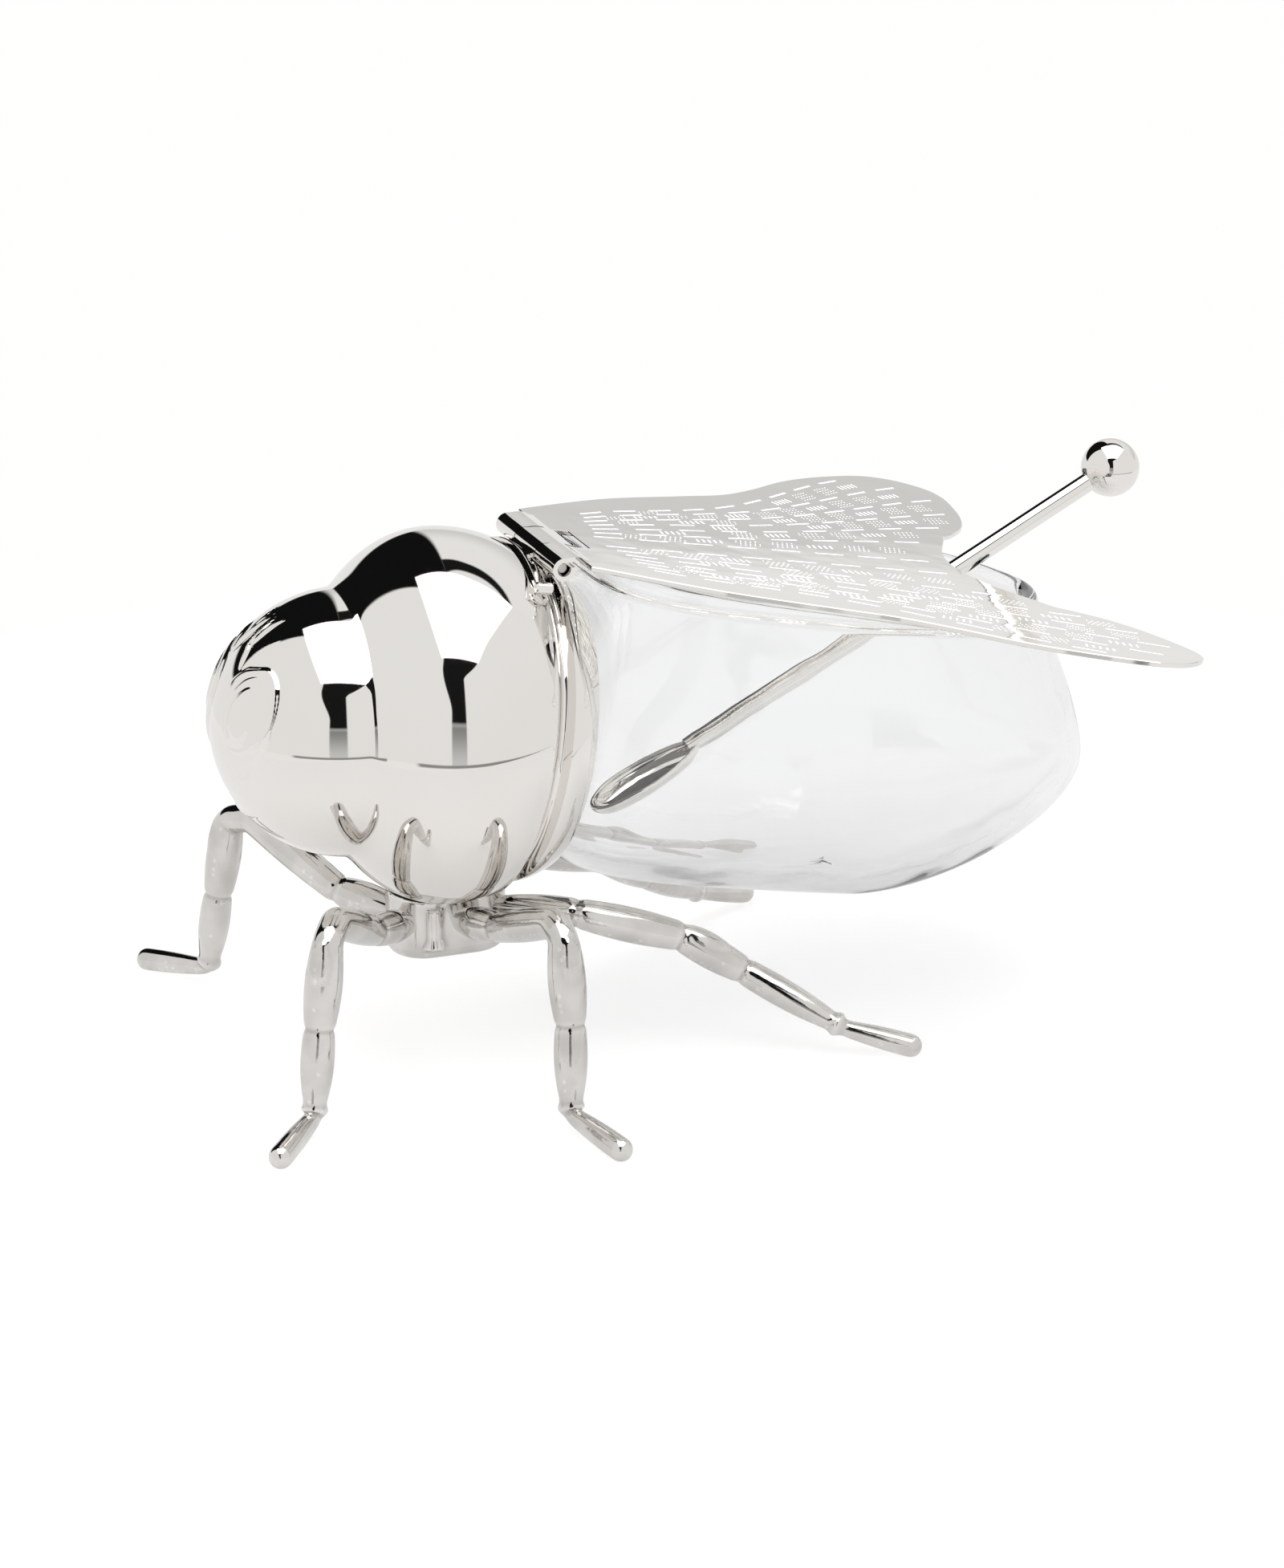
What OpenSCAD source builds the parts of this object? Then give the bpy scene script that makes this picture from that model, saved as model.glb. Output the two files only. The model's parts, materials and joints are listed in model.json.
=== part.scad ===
// Honey pot in the shape of a bee: a polished metal head and thorax stand on six cast legs,
// a glass bowl set in a collar is the abdomen, and the wings are its hinged lid.
// The head looks along -X, the tail along +X, and the feet stand on z = 0. Lengths are in millimetres.

/* [Head and thorax] */
// Widest radius of the thorax
thorax_r = 36.6; // [34:0.1:39]
// Half the length that the whole thorax would have along its axis
thorax_half = 32; // [30.5:0.1:34]
// Height of the thorax centre above the table
thorax_z = 65.7; // [65:0.1:68]
// Radius of the head
head_r = 26; // [23:0.1:28]
// How far the head centre lies ahead of the thorax centre
head_ahead = 18.5; // [15:0.1:22]
// How far the head centre lies above the thorax centre
head_rise = 0.9; // [0:0.1:3]
// Width over which head and thorax flow into each other
waist_blend = 5; // [2:0.5:8]
// Thickness of the pressed shell
shell_wall = 1.2; // [0.8:0.1:2]
// Where the shell ends behind the thorax centre, along the body axis
shell_end = 12.2; // [11.5:0.1:13]
// Slope of the body axis down to the tail, in degrees
body_tilt = 10; // [6:0.5:14]

/* [Collar] */
// Radius of the collar band at its front edge
band_r = 31.5; // [30.5:0.1:33]
// How much the band tapers to its rear edge
band_taper = 2.8; // [1.5:0.1:4]
// Width of the band along the axis
band_w = 6; // [4:0.1:8]
// Width of the groove between the shell and the band
groove_w = 4.2; // [3.5:0.1:5]
// Depth of the groove below the band's front edge
groove_d = 1.6; // [0.5:0.1:2]
// Thickness of the collar
collar_wall = 1.2; // [0.8:0.1:1.8]
// How far the collar's spigot reaches into the shell
spigot_len = 3; // [2:0.5:4]
// Step from the shell down to the collar's shoulder
shoulder_step = 1.1; // [0.9:0.1:1.5]

/* [Glass bowl] */
// Half width of the bowl
glass_w = 34; // [32:0.1:36]
// Depth of the bowl below the body axis
glass_d = 30.9; // [30:0.1:33]
// Thickness of the glass
glass_wall = 3; // [2:0.1:4]
// How far the bowl's nose reaches forward into the collar's band
nose_in = 7; // [5.5:0.1:8]
// Length of the bowl from the rear of the band to the tip of the tail
glass_len = 118; // [112:0.5:124]
// How far the widest place lies behind the band
glass_mid = 65.6; // [60:0.5:72]
// How far the rear of the mouth lies ahead of the tip of the tail
mouth_back = 20.8; // [16:0.5:24]
// How far the bowl's front leans back on its way up to the mouth
brow_back = 8; // [5:0.5:10]
// Height above the body axis at which the front has leaned all the way back
brow_h = 22; // [18:0.5:28]
// Radius of the rounded lip
lip_r = 2.2; // [1.8:0.1:2.8]

/* [Lid] */
// Length of the lid from the hinge to the tips of the wings
lid_len = 113.6; // [108:0.1:122]
// Half width of the lid over the wings
wing_y = 70.5; // [66:0.5:76]
// Half width of the lid's front edge
lid_front = 21.5; // [20:0.5:24]
// Thickness of the sheet
lid_t = 1; // [0.7:0.1:1.3]
// Radius to which the sheet is bent across, so that the wings rise a little
lid_bend = 1150; // [800:10:2000]
// How far the notch between the wings lies behind the hinge
notch_at = 90.7; // [88:0.1:92]
// How far the lid's front corners lie behind the hinge
corner_at = 3.6; // [3.2:0.1:5]
// How far the window behind the middle knuckle reaches from the hinge
window_at = 8.6; // [6:0.1:12]

/* [Hinge] */
// Outer radius of the rolled knuckles
knuckle_r = 2.25; // [2:0.05:2.5]
// Radius of the hinge pin
pin_r = 1.1; // [0.9:0.05:1.3]
// How far the hinge axis lies below the thorax's widest radius
hinge_drop = 1.7; // [1.2:0.1:2]
// How far the knuckles stand above the sheet
knuckle_proud = 0.25; // [0.2:0.05:0.5]
// Length of all the knuckles together
hinge_len = 34.2; // [30:0.2:38]
// Length of the middle knuckle
leaf_knuckle = 11.8; // [9:0.2:14]
// How far the pin's ends lie inside the outer knuckles
pin_recess = 1.2; // [0.5:0.1:3]
// Half the angle that the leaf's strap covers on the thorax, in degrees
strap_angle = 29; // [22:1:36]
// Width of the strap
strap_w = 2.7; // [2:0.1:3.2]
// Thickness of the strap
strap_t = 0.9; // [0.7:0.1:1.1]

// Gap between the end of the leaf's flap and the end of the lid's window
flap_gap = 2.2; // [1:0.1:4]
// Radius of the rolled tabs at the strap's ends
tab_r = 1.15; // [0.8:0.05:1.4]

/* [Wing veins] */
// Number of pierced veins on each wing
vein_count = 7; // [3:1:7]
// Length of the dashes that a vein is made of
dash_len = 6.2; // [4:0.1:7]
// Width of the dashes
dash_w = 0.6; // [0.4:0.05:1]
// Least gap between one dash and the next
dash_gap = 3.2; // [2:0.1:6]
// How much each vein bows towards the middle more than the one inside it
vein_bow = 1.15; // [0.9:0.05:1.3]

/* [Spoon] */
// Radius of the stem
stem_r = 1.95; // [1.5:0.05:2.1]
// Radius of the ball on the end of the stem
ball_r = 6; // [5:0.1:7.5]
// Slope of the stem above the level, in degrees
stem_slope = 28; // [27.5:0.1:28.5]
// Distance of the stem from the middle of the pot
stem_y = 9.6; // [9:0.1:11]
// Length of the spoon from the tip of its bowl to the centre of the ball
spoon_len = 128; // [120:1:140]
// How far the spoon's tip lies behind the collar, along the body axis
tip_back = 16.6; // [16:0.1:17.5]
// Height of the spoon's tip above the floor of the bowl
tip_rise = 7.5; // [7:0.1:8]
// Length of the spoon's bowl
scoop_len = 26; // [22:0.5:30]
// Half width of the spoon's bowl
scoop_w = 6.2; // [5:0.1:7]
// How far the stem reaches into the spoon's bowl
stem_seat = 3; // [2:0.1:4]
// Depth of the spoon's bowl
scoop_d = 3.6; // [3:0.1:4.5]
// Thickness of the spoon's bowl
scoop_wall = 0.9; // [0.7:0.1:1.2]

/* [Legs] */
// Thickest radius of the leg segments
leg_r = 3.6; // [3:0.1:4]
// Radius of the leg at its creased joints
crease_r = 2.9; // [2.4:0.1:3.2]
// Radius of the leg where it meets the hub
root_r = 2.5; // [2.2:0.1:2.9]
// Radius of the ankle
ankle_r = 1.6; // [1.3:0.1:2]
// Radius of the foot near its tip
foot_r = 2.3; // [2:0.1:2.7]
// Height of the front and middle knees
knee_z = 38; // [35:0.5:40]
// Reach of the front feet ahead of the thorax centre
front_reach = 47.4; // [42:0.5:52]
// Half width across the front feet
front_y = 51.4; // [46:0.5:56]
// Half width across the middle feet
middle_y = 70; // [64:0.5:74]
// Reach of the rear feet behind the thorax centre
rear_reach = 81.8; // [76:0.5:88]
// Half width across the rear feet
rear_y = 44.3; // [40:0.5:50]

/* [Leg hub] */
// Radius of the hub's rounded ends
hub_r = 7.5; // [6.5:0.1:8.5]
// Distance between the centres of the hub's ends
hub_len = 9; // [7:0.5:11]
// Radius of the hub's lower edge
hub_edge = 2.5; // [1:0.5:4]
// Height of the hub's underside
hub_z = 17.6; // [16:0.1:19]
// Height of the leg roots above the hub's underside
root_rise = 6.4; // [6:0.1:7]
// Radius of the lugs on the hub's sides
lug_r = 1.7; // [1.3:0.1:2]
// Height of a lug
lug_h = 8; // [6:0.2:9]
// Radius of the spigots that hold the legs
spigot_r = 1.4; // [1.2:0.05:1.6]
// Depth of the holes for the spigots
socket_d = 4.4; // [3:0.1:5]
// How far the screw sits ahead of the hub's middle, clear of the collar
screw_ahead = 3; // [2.5:0.1:3.2]
// Radius of the screw that holds the hub
screw_r = 1.9; // [1.5:0.05:2]
// Radius of the screw's head
screw_head_r = 3.5; // [3:0.1:3.8]
// Height of the screw's head
screw_head_h = 2.1; // [1.6:0.1:2.4]
// Length of the screw above its head
screw_len = 16; // [14.5:0.5:17]
// Radius of the threaded boss inside the shell
boss_r = 4.5; // [3.5:0.1:5]
// Height of the threaded boss
boss_h = 7; // [6:0.5:9]

/* [Hidden] */

$fn = 72;
seat = 0.2;            // gap between pieces that are set on each other
slip = 0.05;           // radial gap round a pin in its bore
run_gap = 0.3;         // gap beside whatever moves
over_cut = 1;          // how far a cutting block passes beyond what it cuts
reach = 200;           // longer than anything that a cutting block has to cross
left = [0, 1, 0];      // mirror plane that turns a right-hand piece into a left-hand one

nickel = [0.80, 0.78, 0.75];
cast_nickel = [0.70, 0.68, 0.65];
clear = [0.86, 0.92, 0.94, 0.45];
grey_rubber = [0.75, 0.75, 0.73];

// Places along the body axis, counted from the thorax centre towards the tail
band_front = shell_end + groove_w;
band_rear = band_front + band_w;
nose_s = band_rear - nose_in;
mid_s = band_rear + glass_mid;
tail_s = band_rear + glass_len;

// The hinge lies over the thorax's rear edge. The lid's underside and the bowl's rim lie below its top.
hinge_s = shell_end + knuckle_r;
hinge_h = thorax_r - hinge_drop;
lid_h = hinge_h + knuckle_r - knuckle_proud - lid_t;
rim_h = lid_h - run_gap;
lip_h = rim_h - lip_r;
knuckle_in = leaf_knuckle / 2 + run_gap;

// The spoon's axis lies in the plane y = stem_y, with its tip near the floor of the bowl
tip_s = band_rear + tip_back;
tip_h = glass_wall - glass_d + tip_rise;
stem_dir = [cos(stem_slope), 0, sin(stem_slope)];
tip = [tip_s * cos(body_tilt) + tip_h * sin(body_tilt), stem_y,
    tip_h * cos(body_tilt) - tip_s * sin(body_tilt)];
ball_at = tip + spoon_len * stem_dir;

// The origin lies under the middle of the whole length, from the front toes to the ball
toe_reach = front_reach + foot_r;
thorax_x = (toe_reach - ball_at.x - ball_r) / 2;

head_tilt = atan2(head_rise, head_ahead);
head_off = norm([head_ahead, head_rise]);

hub_x = thorax_x + 1;
hub_top = thorax_z - thorax_r + 3;
root_z = hub_z + root_rise;
screw_x = hub_x - screw_ahead;
screw_hole_r = screw_r + 0.3;

// ---- Places ----

// x runs along the body axis to the tail, z stands up from it
module on_body() {
    translate([thorax_x, 0, thorax_z]) rotate([0, body_tilt, 0]) children();
}

// z runs from the thorax centre towards the tail along the body axis
module round_body() {
    on_body() rotate([0, 90, 0]) children();
}

// z runs from the thorax centre to the head centre
module round_head() {
    translate([thorax_x, 0, thorax_z]) rotate([0, head_tilt - 90, 0]) children();
}

// z runs from one point to another
module between(a, b) {
    d = b - a;
    translate(a) rotate([0, acos(d.z / norm(d)), atan2(d.y, d.x)]) children();
}

// ---- Head and thorax ----

function half_round(z, half, r) = abs(z) < half ? r * sqrt(1 - pow(z / half, 2)) : -r;
function flow(a, b, k) = max(a, b) + k / 4 * pow(max(k - abs(a - b), 0) / k, 2);

// Radius of the shell at z on the head's axis, with every surface moved in by `inset`
function shell_radius(z, inset) = flow(
    half_round(z, thorax_half - inset, thorax_r - inset),
    half_round(z - head_off, head_r - inset, head_r - inset), waist_blend);

// Profile from the back of the thorax to the tip of the head, closest together near the tip
function shell_profile(inset, steps) = let(
    z0 = -thorax_half * 0.75, z1 = head_off + head_r - inset)
    [for (i = [0:steps]) let(z = z0 + (z1 - z0) * sin(90 * i / steps))
        [i == steps ? 0 : shell_radius(z, inset), z]];

// The whole form, filled, with its surface moved in by `inset`
module shell_form(inset) {
    p = shell_profile(inset, 44);
    round_head() rotate_extrude() polygon(concat([[0, p[0].y]], p));
}

module head_thorax_shell() {
    color(nickel) difference() {
        round_head() rotate_extrude()
            polygon(concat(shell_profile(0, 44), [for (i = [44:-1:0]) shell_profile(shell_wall, 44)[i]]));
        on_body() translate([shell_end, -reach / 2, -reach / 2]) cube(reach);
        translate([screw_x, 0, 0]) cylinder(r = screw_hole_r, h = thorax_z);
    }
}

// ---- Collar ----

// The thorax leans a little against the body axis, so its sections behind its centre lie lower.
// Height of its top over the body axis at s, with its surface moved in by `inset`.
lean = body_tilt - head_tilt;
function span(inset) = norm([(thorax_half - inset) * cos(lean), (thorax_r - inset) * sin(lean)]);
function top_at(s, inset) = (thorax_r - inset) * (thorax_half - inset) / span(inset)
    * sqrt(1 - pow(s / span(inset), 2))
    - s * (pow(thorax_r, 2) - pow(thorax_half, 2)) * sin(lean) * cos(lean) / pow(span(inset), 2);
spigot_out = top_at(shell_end, shell_wall) - seat;
band_in = band_r - band_taper - collar_wall;

module rear_collar() {
    groove_r = band_r - groove_d;
    shoulder = half_round(shell_end, thorax_half, thorax_r) - shoulder_step;
    edge = shell_end + seat;
    land = 0.5;
    outer = [[spigot_out, shell_end - spigot_len], [spigot_out, edge], [shoulder, edge],
        for (i = [0:6]) let(t = i / 6)
            [groove_r + (i < 3 ? shoulder - groove_r : band_r - groove_r) * pow(2 * t - 1, 2),
                edge + land + (groove_w - seat - land) * t],
        for (i = [1:6]) let(t = i / 6) [band_r - band_taper * pow(t, 1.6), band_front + band_w * t]];
    inner = [[band_in, band_rear], [band_in, band_front + land],
        [groove_r - collar_wall, band_front - collar_wall],
        [groove_r - collar_wall, edge + collar_wall],
        [spigot_out - collar_wall, shell_end], [spigot_out - collar_wall, shell_end - spigot_len]];
    color(nickel) round_body() rotate_extrude($fn = 96) polygon(concat(outer, inner));
}

// ---- Glass ----

// One level curve of the bowl at height h, with its surface moved out by `grow`.
// It is blunt towards the collar and drawn out to the tail. `at` is the height it is drawn at.
function ease(t) = let(u = min(max(t, 0), 1)) u * u * (3 - 2 * u);
function over(k, n) = pow(max(0, 1 - pow(k, n)), 1 / n);
function power(x, n) = sign(x) * pow(abs(x), n);
function level(h, grow, at, count) = let(
    d = glass_d + grow,
    k = min(abs(h) / d, 1),
    low = h < 0,
    w = (glass_w + grow) * (low ? over(k, 2) : 1),
    back = nose_s + (low ? 0 : brow_back * ease(h / brow_h)),
    fore = (mid_s - back + grow) * (low ? over(k, 4) : 1),
    aft = low ? (tail_s - mid_s + grow) * over(k, 1.6)
        : tail_s - mid_s + grow - mouth_back * pow(h / rim_h, 1.4))
    [for (i = [0:count - 1]) let(a = 360 * i / count, c = cos(a), s = sin(a), n = c < 0 ? 4 : 1.6)
        [mid_s + (c < 0 ? fore : aft) * power(c, 2 / n), w * power(s, 2 / n), at]];

// Level curves from just above the bottom up to the height `top`
function levels(grow, top, low_steps, high_steps, count) = concat(
    [for (i = [1:low_steps]) let(h = -(glass_d + grow) * cos(90 * i / low_steps)) level(h, grow, h, count)],
    [for (i = [1:high_steps]) let(h = top * i / high_steps) level(h, grow, h, count)]);

// Closed skin over a stack of level curves, with a pole at each end
module skin(rings, first, last) {
    n = len(rings[0]);
    m = len(rings);
    flat = [for (r = rings) each r];
    polyhedron(points = concat(flat, [first, last]), faces = concat(
        [for (i = [0:n - 1]) [n * m, i, (i + 1) % n]],
        [for (j = [0:m - 2], i = [0:n - 1]) [j * n + i, (j + 1) * n + i, (j + 1) * n + (i + 1) % n]],
        [for (j = [0:m - 2], i = [0:n - 1]) [j * n + i, (j + 1) * n + (i + 1) % n, j * n + (i + 1) % n]],
        [for (i = [0:n - 1]) [n * m + 1, (m - 1) * n + (i + 1) % n, (m - 1) * n + i]]));
}

// The bowl's outside below its lip as a filled form
module glass_form(grow) {
    top = lip_h - lip_r;
    skin(levels(grow, top, 9, 5, 40), [mid_s, 0, -glass_d - grow], [mid_s, 0, top]);
}

module glass_bowl() {
    count = 40;
    outside = levels(0, lip_h - lip_r, 9, 5, count);
    inside = levels(-glass_wall, lip_h - lip_r, 8, 5, count);
    lip = [for (i = [0:6]) let(a = -30 + 240 * i / 6)
        level(lip_h, lip_r * cos(a) - glass_wall / 2, lip_h + lip_r * sin(a), count)];
    rings = concat(outside, lip, [for (i = [len(inside) - 1:-1:0]) inside[i]]);
    color(clear) on_body()
        skin(rings, [mid_s, 0, -glass_d], [mid_s, 0, -glass_d + glass_wall]);
}

seal_back = 2.5;       // from the tip of the bowl's nose to the seal's front face
seal_inset = 0.6;      // from the seal's rear face to the rear of the band

// Soft ring that beds the bowl's nose in the collar
module glass_seal() {
    color(grey_rubber) on_body() difference() {
        translate([nose_s + seal_back, 0, 0]) rotate([0, 90, 0])
            cylinder(r = band_in - seat, h = nose_in - seal_back - seal_inset);
        glass_form(seat);
    }
}

// ---- Lid ----

// Points on a smooth curve through a list of points
function knot(p, i) = p[min(max(i, 0), len(p) - 1)];
function through(p, steps) = [for (i = [0:len(p) - 2], j = [0:steps - 1])
    let(t = j / steps, a = knot(p, i - 1), b = knot(p, i), c = knot(p, i + 1), d = knot(p, i + 2))
    0.5 * (2 * b + (c - a) * t + (2 * a - 5 * b + 4 * c - d) * t * t
        + (3 * b - a - 3 * c + d) * t * t * t)];

// Outline of one wing from the lid's front corner round its lobe to the notch. Along the lid,
// the wing's places follow the lid's length, and across it they follow the wing's half width.
wing_edge = [[corner_at, lid_front],
    for (q = [[0.226, 0.489], [0.405, 0.596], [0.5, 0.65], [0.58, 0.737], [0.66, 0.844],
        [0.73, 0.915], [0.81, 0.972], [0.88, 1], [0.94, 0.979], [0.985, 0.915], [1, 0.845],
        [0.998, 0.76], [0.98, 0.62], [0.948, 0.5], [0.904, 0.415], [0.876, 0.375], [0.86, 0.32]])
        [lid_len * q[0], wing_y * q[1]],
    [notch_at + 2.6, 13.5], [notch_at + 0.4, 6], [notch_at, 0]];

module lid_outline() {
    half = through(wing_edge, 4);
    window_y = knuckle_in + run_gap;
    front = [[notch_at, 0], [window_at, 0], [window_at, window_y], [0, window_y],
        [0, hinge_len / 2], [corner_at, hinge_len / 2]];
    for (side = [1, -1]) polygon([for (q = concat(front, half)) [q.x, side * q.y]]);
}

// A vein's place at share t of its run. The veins start in a row behind the hinge, and each ends at
// its own place inside the wing's rear edge, given in shares of the lid's length and half width.
vein_ends = [[0.757, 0.064], [0.8, 0.284], [0.893, 0.475], [0.951, 0.638], [0.964, 0.787],
    [0.915, 0.894], [0.8, 0.919]];
function vein_start(k) = [window_at + 4.4 + 0.5 * k, lid_front * (0.167 + 0.133 * k)];
function vein_end(k) = [lid_len * vein_ends[k].x, wing_y * vein_ends[k].y];
function vein(k, t) = vein_start(k) + (vein_end(k) - vein_start(k)) * t
    - [0, vein_bow * k * pow(sin(180 * t), 2)];

// Slots for the dashes of one wing: each lies on its vein, and the last one ends where the vein ends
module dashes() {
    for (k = [0:vein_count - 1]) let(
        run = norm(vein_end(k) - vein_start(k)), count = floor((run + dash_gap) / (dash_len + dash_gap)))
        for (i = [0:count - 1]) let(
            t = 1 - (count - 1 - i) * (run + dash_gap) / count / run,
            tail = vein(k, t), nose = vein(k, t - dash_len / run), way = nose - tail)
            translate(tail) rotate(atan2(way.y, way.x))
                translate([0, -dash_w / 2]) square([norm(way), dash_w]);
}

module pierced_outline() {
    difference() {
        lid_outline();
        for (flip = [0, 1]) mirror([0, flip]) dashes();
    }
}

module wing_lid() {
    knuckle_len = hinge_len / 2 - knuckle_in;
    lift = lid_bend - sqrt(lid_bend * lid_bend - wing_y * wing_y);
    color(nickel) on_body() translate([hinge_s, 0, 0]) difference() {
        union() {
            intersection() {
                translate([0, 0, lid_h - over_cut])
                    linear_extrude(lift + lid_t + 2 * over_cut) pierced_outline();
                translate([-over_cut, 0, lid_h + lid_bend]) rotate([0, 90, 0]) difference() {
                    cylinder(r = lid_bend, h = lid_len + 2 * over_cut, $fn = 720);
                    translate([0, 0, -over_cut])
                        cylinder(r = lid_bend - lid_t, h = lid_len + 4 * over_cut, $fn = 720);
                }
            }
            for (side = [1, -1]) translate([0, side * (knuckle_in + knuckle_len / 2), hinge_h])
                rotate([90, 0, 0]) cylinder(r = knuckle_r, h = knuckle_len, center = true);
        }
        translate([0, 0, hinge_h]) rotate([90, 0, 0])
            cylinder(r = pin_r + slip, h = hinge_len + 2 * over_cut, center = true);
    }
}

// ---- Hinge ----

// The leaf's strap is soldered along the rear edge of the thorax and ends in two rolled tabs. Its
// knuckle stands between the lid's two, and a flap runs back from it over the lid's window.

module hinge_leaf() {
    rear = shell_end - 0.1;
    fore = rear - strap_w;
    rear_h = top_at(rear, 0) + seat;
    fore_h = top_at(fore, 0) + seat;
    tongue_s = fore + 0.3;
    color(nickel) on_body() difference() {
        union() {
            translate([hinge_s, 0, hinge_h]) rotate([90, 0, 0])
                cylinder(r = knuckle_r, h = leaf_knuckle, center = true);
            rotate([0, 90, 0]) rotate([0, 0, 180 - strap_angle]) rotate_extrude(angle = 2 * strap_angle)
                polygon([[fore_h, fore], [rear_h, rear], [rear_h + strap_t, rear], [fore_h + strap_t, fore]]);
            for (side = [-1, 1]) rotate([0, 90, 0]) rotate([0, 0, 180 + side * strap_angle])
                between([fore_h + tab_r, 0, fore], [rear_h + tab_r, 0, rear])
                    cylinder(r = tab_r, h = norm([fore_h - rear_h, strap_w]));
            translate([tongue_s, -leaf_knuckle / 2, fore_h + strap_t / 4])
                cube([hinge_s - tongue_s, leaf_knuckle, strap_t]);
            translate([hinge_s, -leaf_knuckle / 2, hinge_h + knuckle_r - strap_t])
                cube([window_at - flap_gap, leaf_knuckle, strap_t]);
        }
        translate([hinge_s, 0, hinge_h]) rotate([90, 0, 0])
            cylinder(r = pin_r + slip, h = hinge_len, center = true);
    }
}

module hinge_pin() {
    color(cast_nickel) on_body() translate([hinge_s, 0, hinge_h]) rotate([90, 0, 0])
        cylinder(r = pin_r, h = hinge_len - 2 * pin_recess, center = true);
}

// ---- Legs ----

// A leg is a chain of stations [place, radius]; the fattest radius of each stretch follows it.
// Places are given from the thorax centre along x, from the middle across y, and above the table.
function station(x, y, z, r) = [[thorax_x + x, y, z], r];
front_leg = [[hub_x - hub_len / 2, 0, root_z], [
    station(-17.3, 11.9, 27.5, crease_r), station(-29.8, 30, knee_z, crease_r),
    station(-33, 35.6, knee_z - 1.6, crease_r), station(-35.5, 37.2, 20, crease_r),
    station(-37.6, 39.4, 3.4, ankle_r), station(-front_reach, front_y, foot_r - 0.3, foot_r)],
    [3.4, 3.3, 2.9, leg_r, 3.1, 1.9]];
middle_leg = [[hub_x, 0, root_z], [
    station(5.6, 19, 27.8, crease_r), station(8.3, 44.5, knee_z, crease_r),
    station(8.4, 49.6, knee_z - 1.6, crease_r), station(9, 51.4, 20, crease_r),
    station(7.8, 55, 3.4, ankle_r), station(12.2, middle_y, foot_r - 0.3, foot_r)],
    [3.4, 3.3, 2.9, leg_r, 3.1, 1.9]];
rear_leg = [[hub_x + hub_len / 2, 0, root_z + 1.2], [
    station(22, 18.4, 28.4, crease_r), station(41.8, 23.1, 22.6, crease_r),
    station(53.3, 27.5, 15.4, crease_r * 0.93), station(69.5, 39.2, 5.6, ankle_r),
    station(rear_reach, rear_y, foot_r - 0.3, foot_r)],
    [3.3, 3.5, 3.3, 2.8, 1.9]];

function toward(a, b) = (b - a) / norm(b - a);
function leg_dir(leg) = toward(leg[0], leg[1][0][0]);
function leg_root(leg) = leg[0] + (hub_r + seat) * leg_dir(leg);

// A round stretch from one radius to another that swells to `fat` between them
module spindle(a, b, ra, rb, fat) {
    steps = 8;
    l = norm(b - a);
    swell = fat - (ra + rb) / 2;
    between(a, b) rotate_extrude($fn = 32) polygon(concat([[0, 0]],
        [for (i = [0:steps]) let(t = i / steps) [ra + (rb - ra) * t + swell * sin(180 * t), l * t]],
        [[0, l]]));
}

module leg(spec) {
    s = spec[1];
    fat = spec[2];
    root = leg_root(spec);
    dir = leg_dir(spec);
    difference() {
        union() {
            spindle(root - dir, s[0][0], root_r, s[0][1], fat[0]);
            for (i = [1:len(s) - 1])
                spindle(s[i - 1][0], s[i][0], s[i - 1][1], s[i][1], fat[i]);
            for (q = s) translate(q[0]) sphere(r = q[1] + 0.05, $fn = 32);
        }
        hub_form(seat);
        translate([-reach, -reach, -reach]) cube([2 * reach, 2 * reach, reach]);
    }
    between(root - (socket_d - run_gap) * dir, root + 2 * dir)
        cylinder(r = spigot_r, h = socket_d - run_gap + 2);
}

module front_leg_right() { color(cast_nickel) leg(front_leg); }
module middle_leg_right() { color(cast_nickel) leg(middle_leg); }
module rear_leg_right() { color(cast_nickel) leg(rear_leg); }
module front_leg_left() { mirror(left) front_leg_right(); }
module middle_leg_left() { mirror(left) middle_leg_right(); }
module rear_leg_left() { mirror(left) rear_leg_right(); }

// ---- Leg hub, its screw and the boss it goes into ----

// A bar with round ends and a rounded lower edge, with its surface moved out by `grow`
module hub_form(grow) {
    r = hub_r + grow;
    low = hub_z - grow;
    side = concat([[0, low]],
        [for (i = [0:4]) let(a = 90 * i / 4) [r - hub_edge * (1 - sin(a)), low + hub_edge * (1 - cos(a))]],
        [[r, hub_top + grow], [0, hub_top + grow]]);
    for (end = [-1, 1]) translate([hub_x + end * hub_len / 2, 0, 0]) rotate_extrude() polygon(side);
    translate([hub_x - hub_len / 2, 0, 0]) rotate([90, 0, 90]) linear_extrude(hub_len)
        for (flip = [0, 1]) mirror([flip, 0]) polygon(side);
}

head_z = hub_z + 0.5;  // underside of the screw's head, just inside its pocket

// A lug stands on each side of the hub, between the front and the middle leg, on a flared foot
module hub_lugs() {
    foot_h = lug_h / 4;
    for (flip = [0, 1]) mirror([0, flip, 0])
        translate([hub_x - hub_len / 2, lug_r / 2 - hub_r, hub_z + hub_edge + seat]) {
            cylinder(r = lug_r, h = lug_h);
            cylinder(r1 = lug_r + foot_h / 3, r2 = lug_r, h = foot_h);
        }
}

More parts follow.
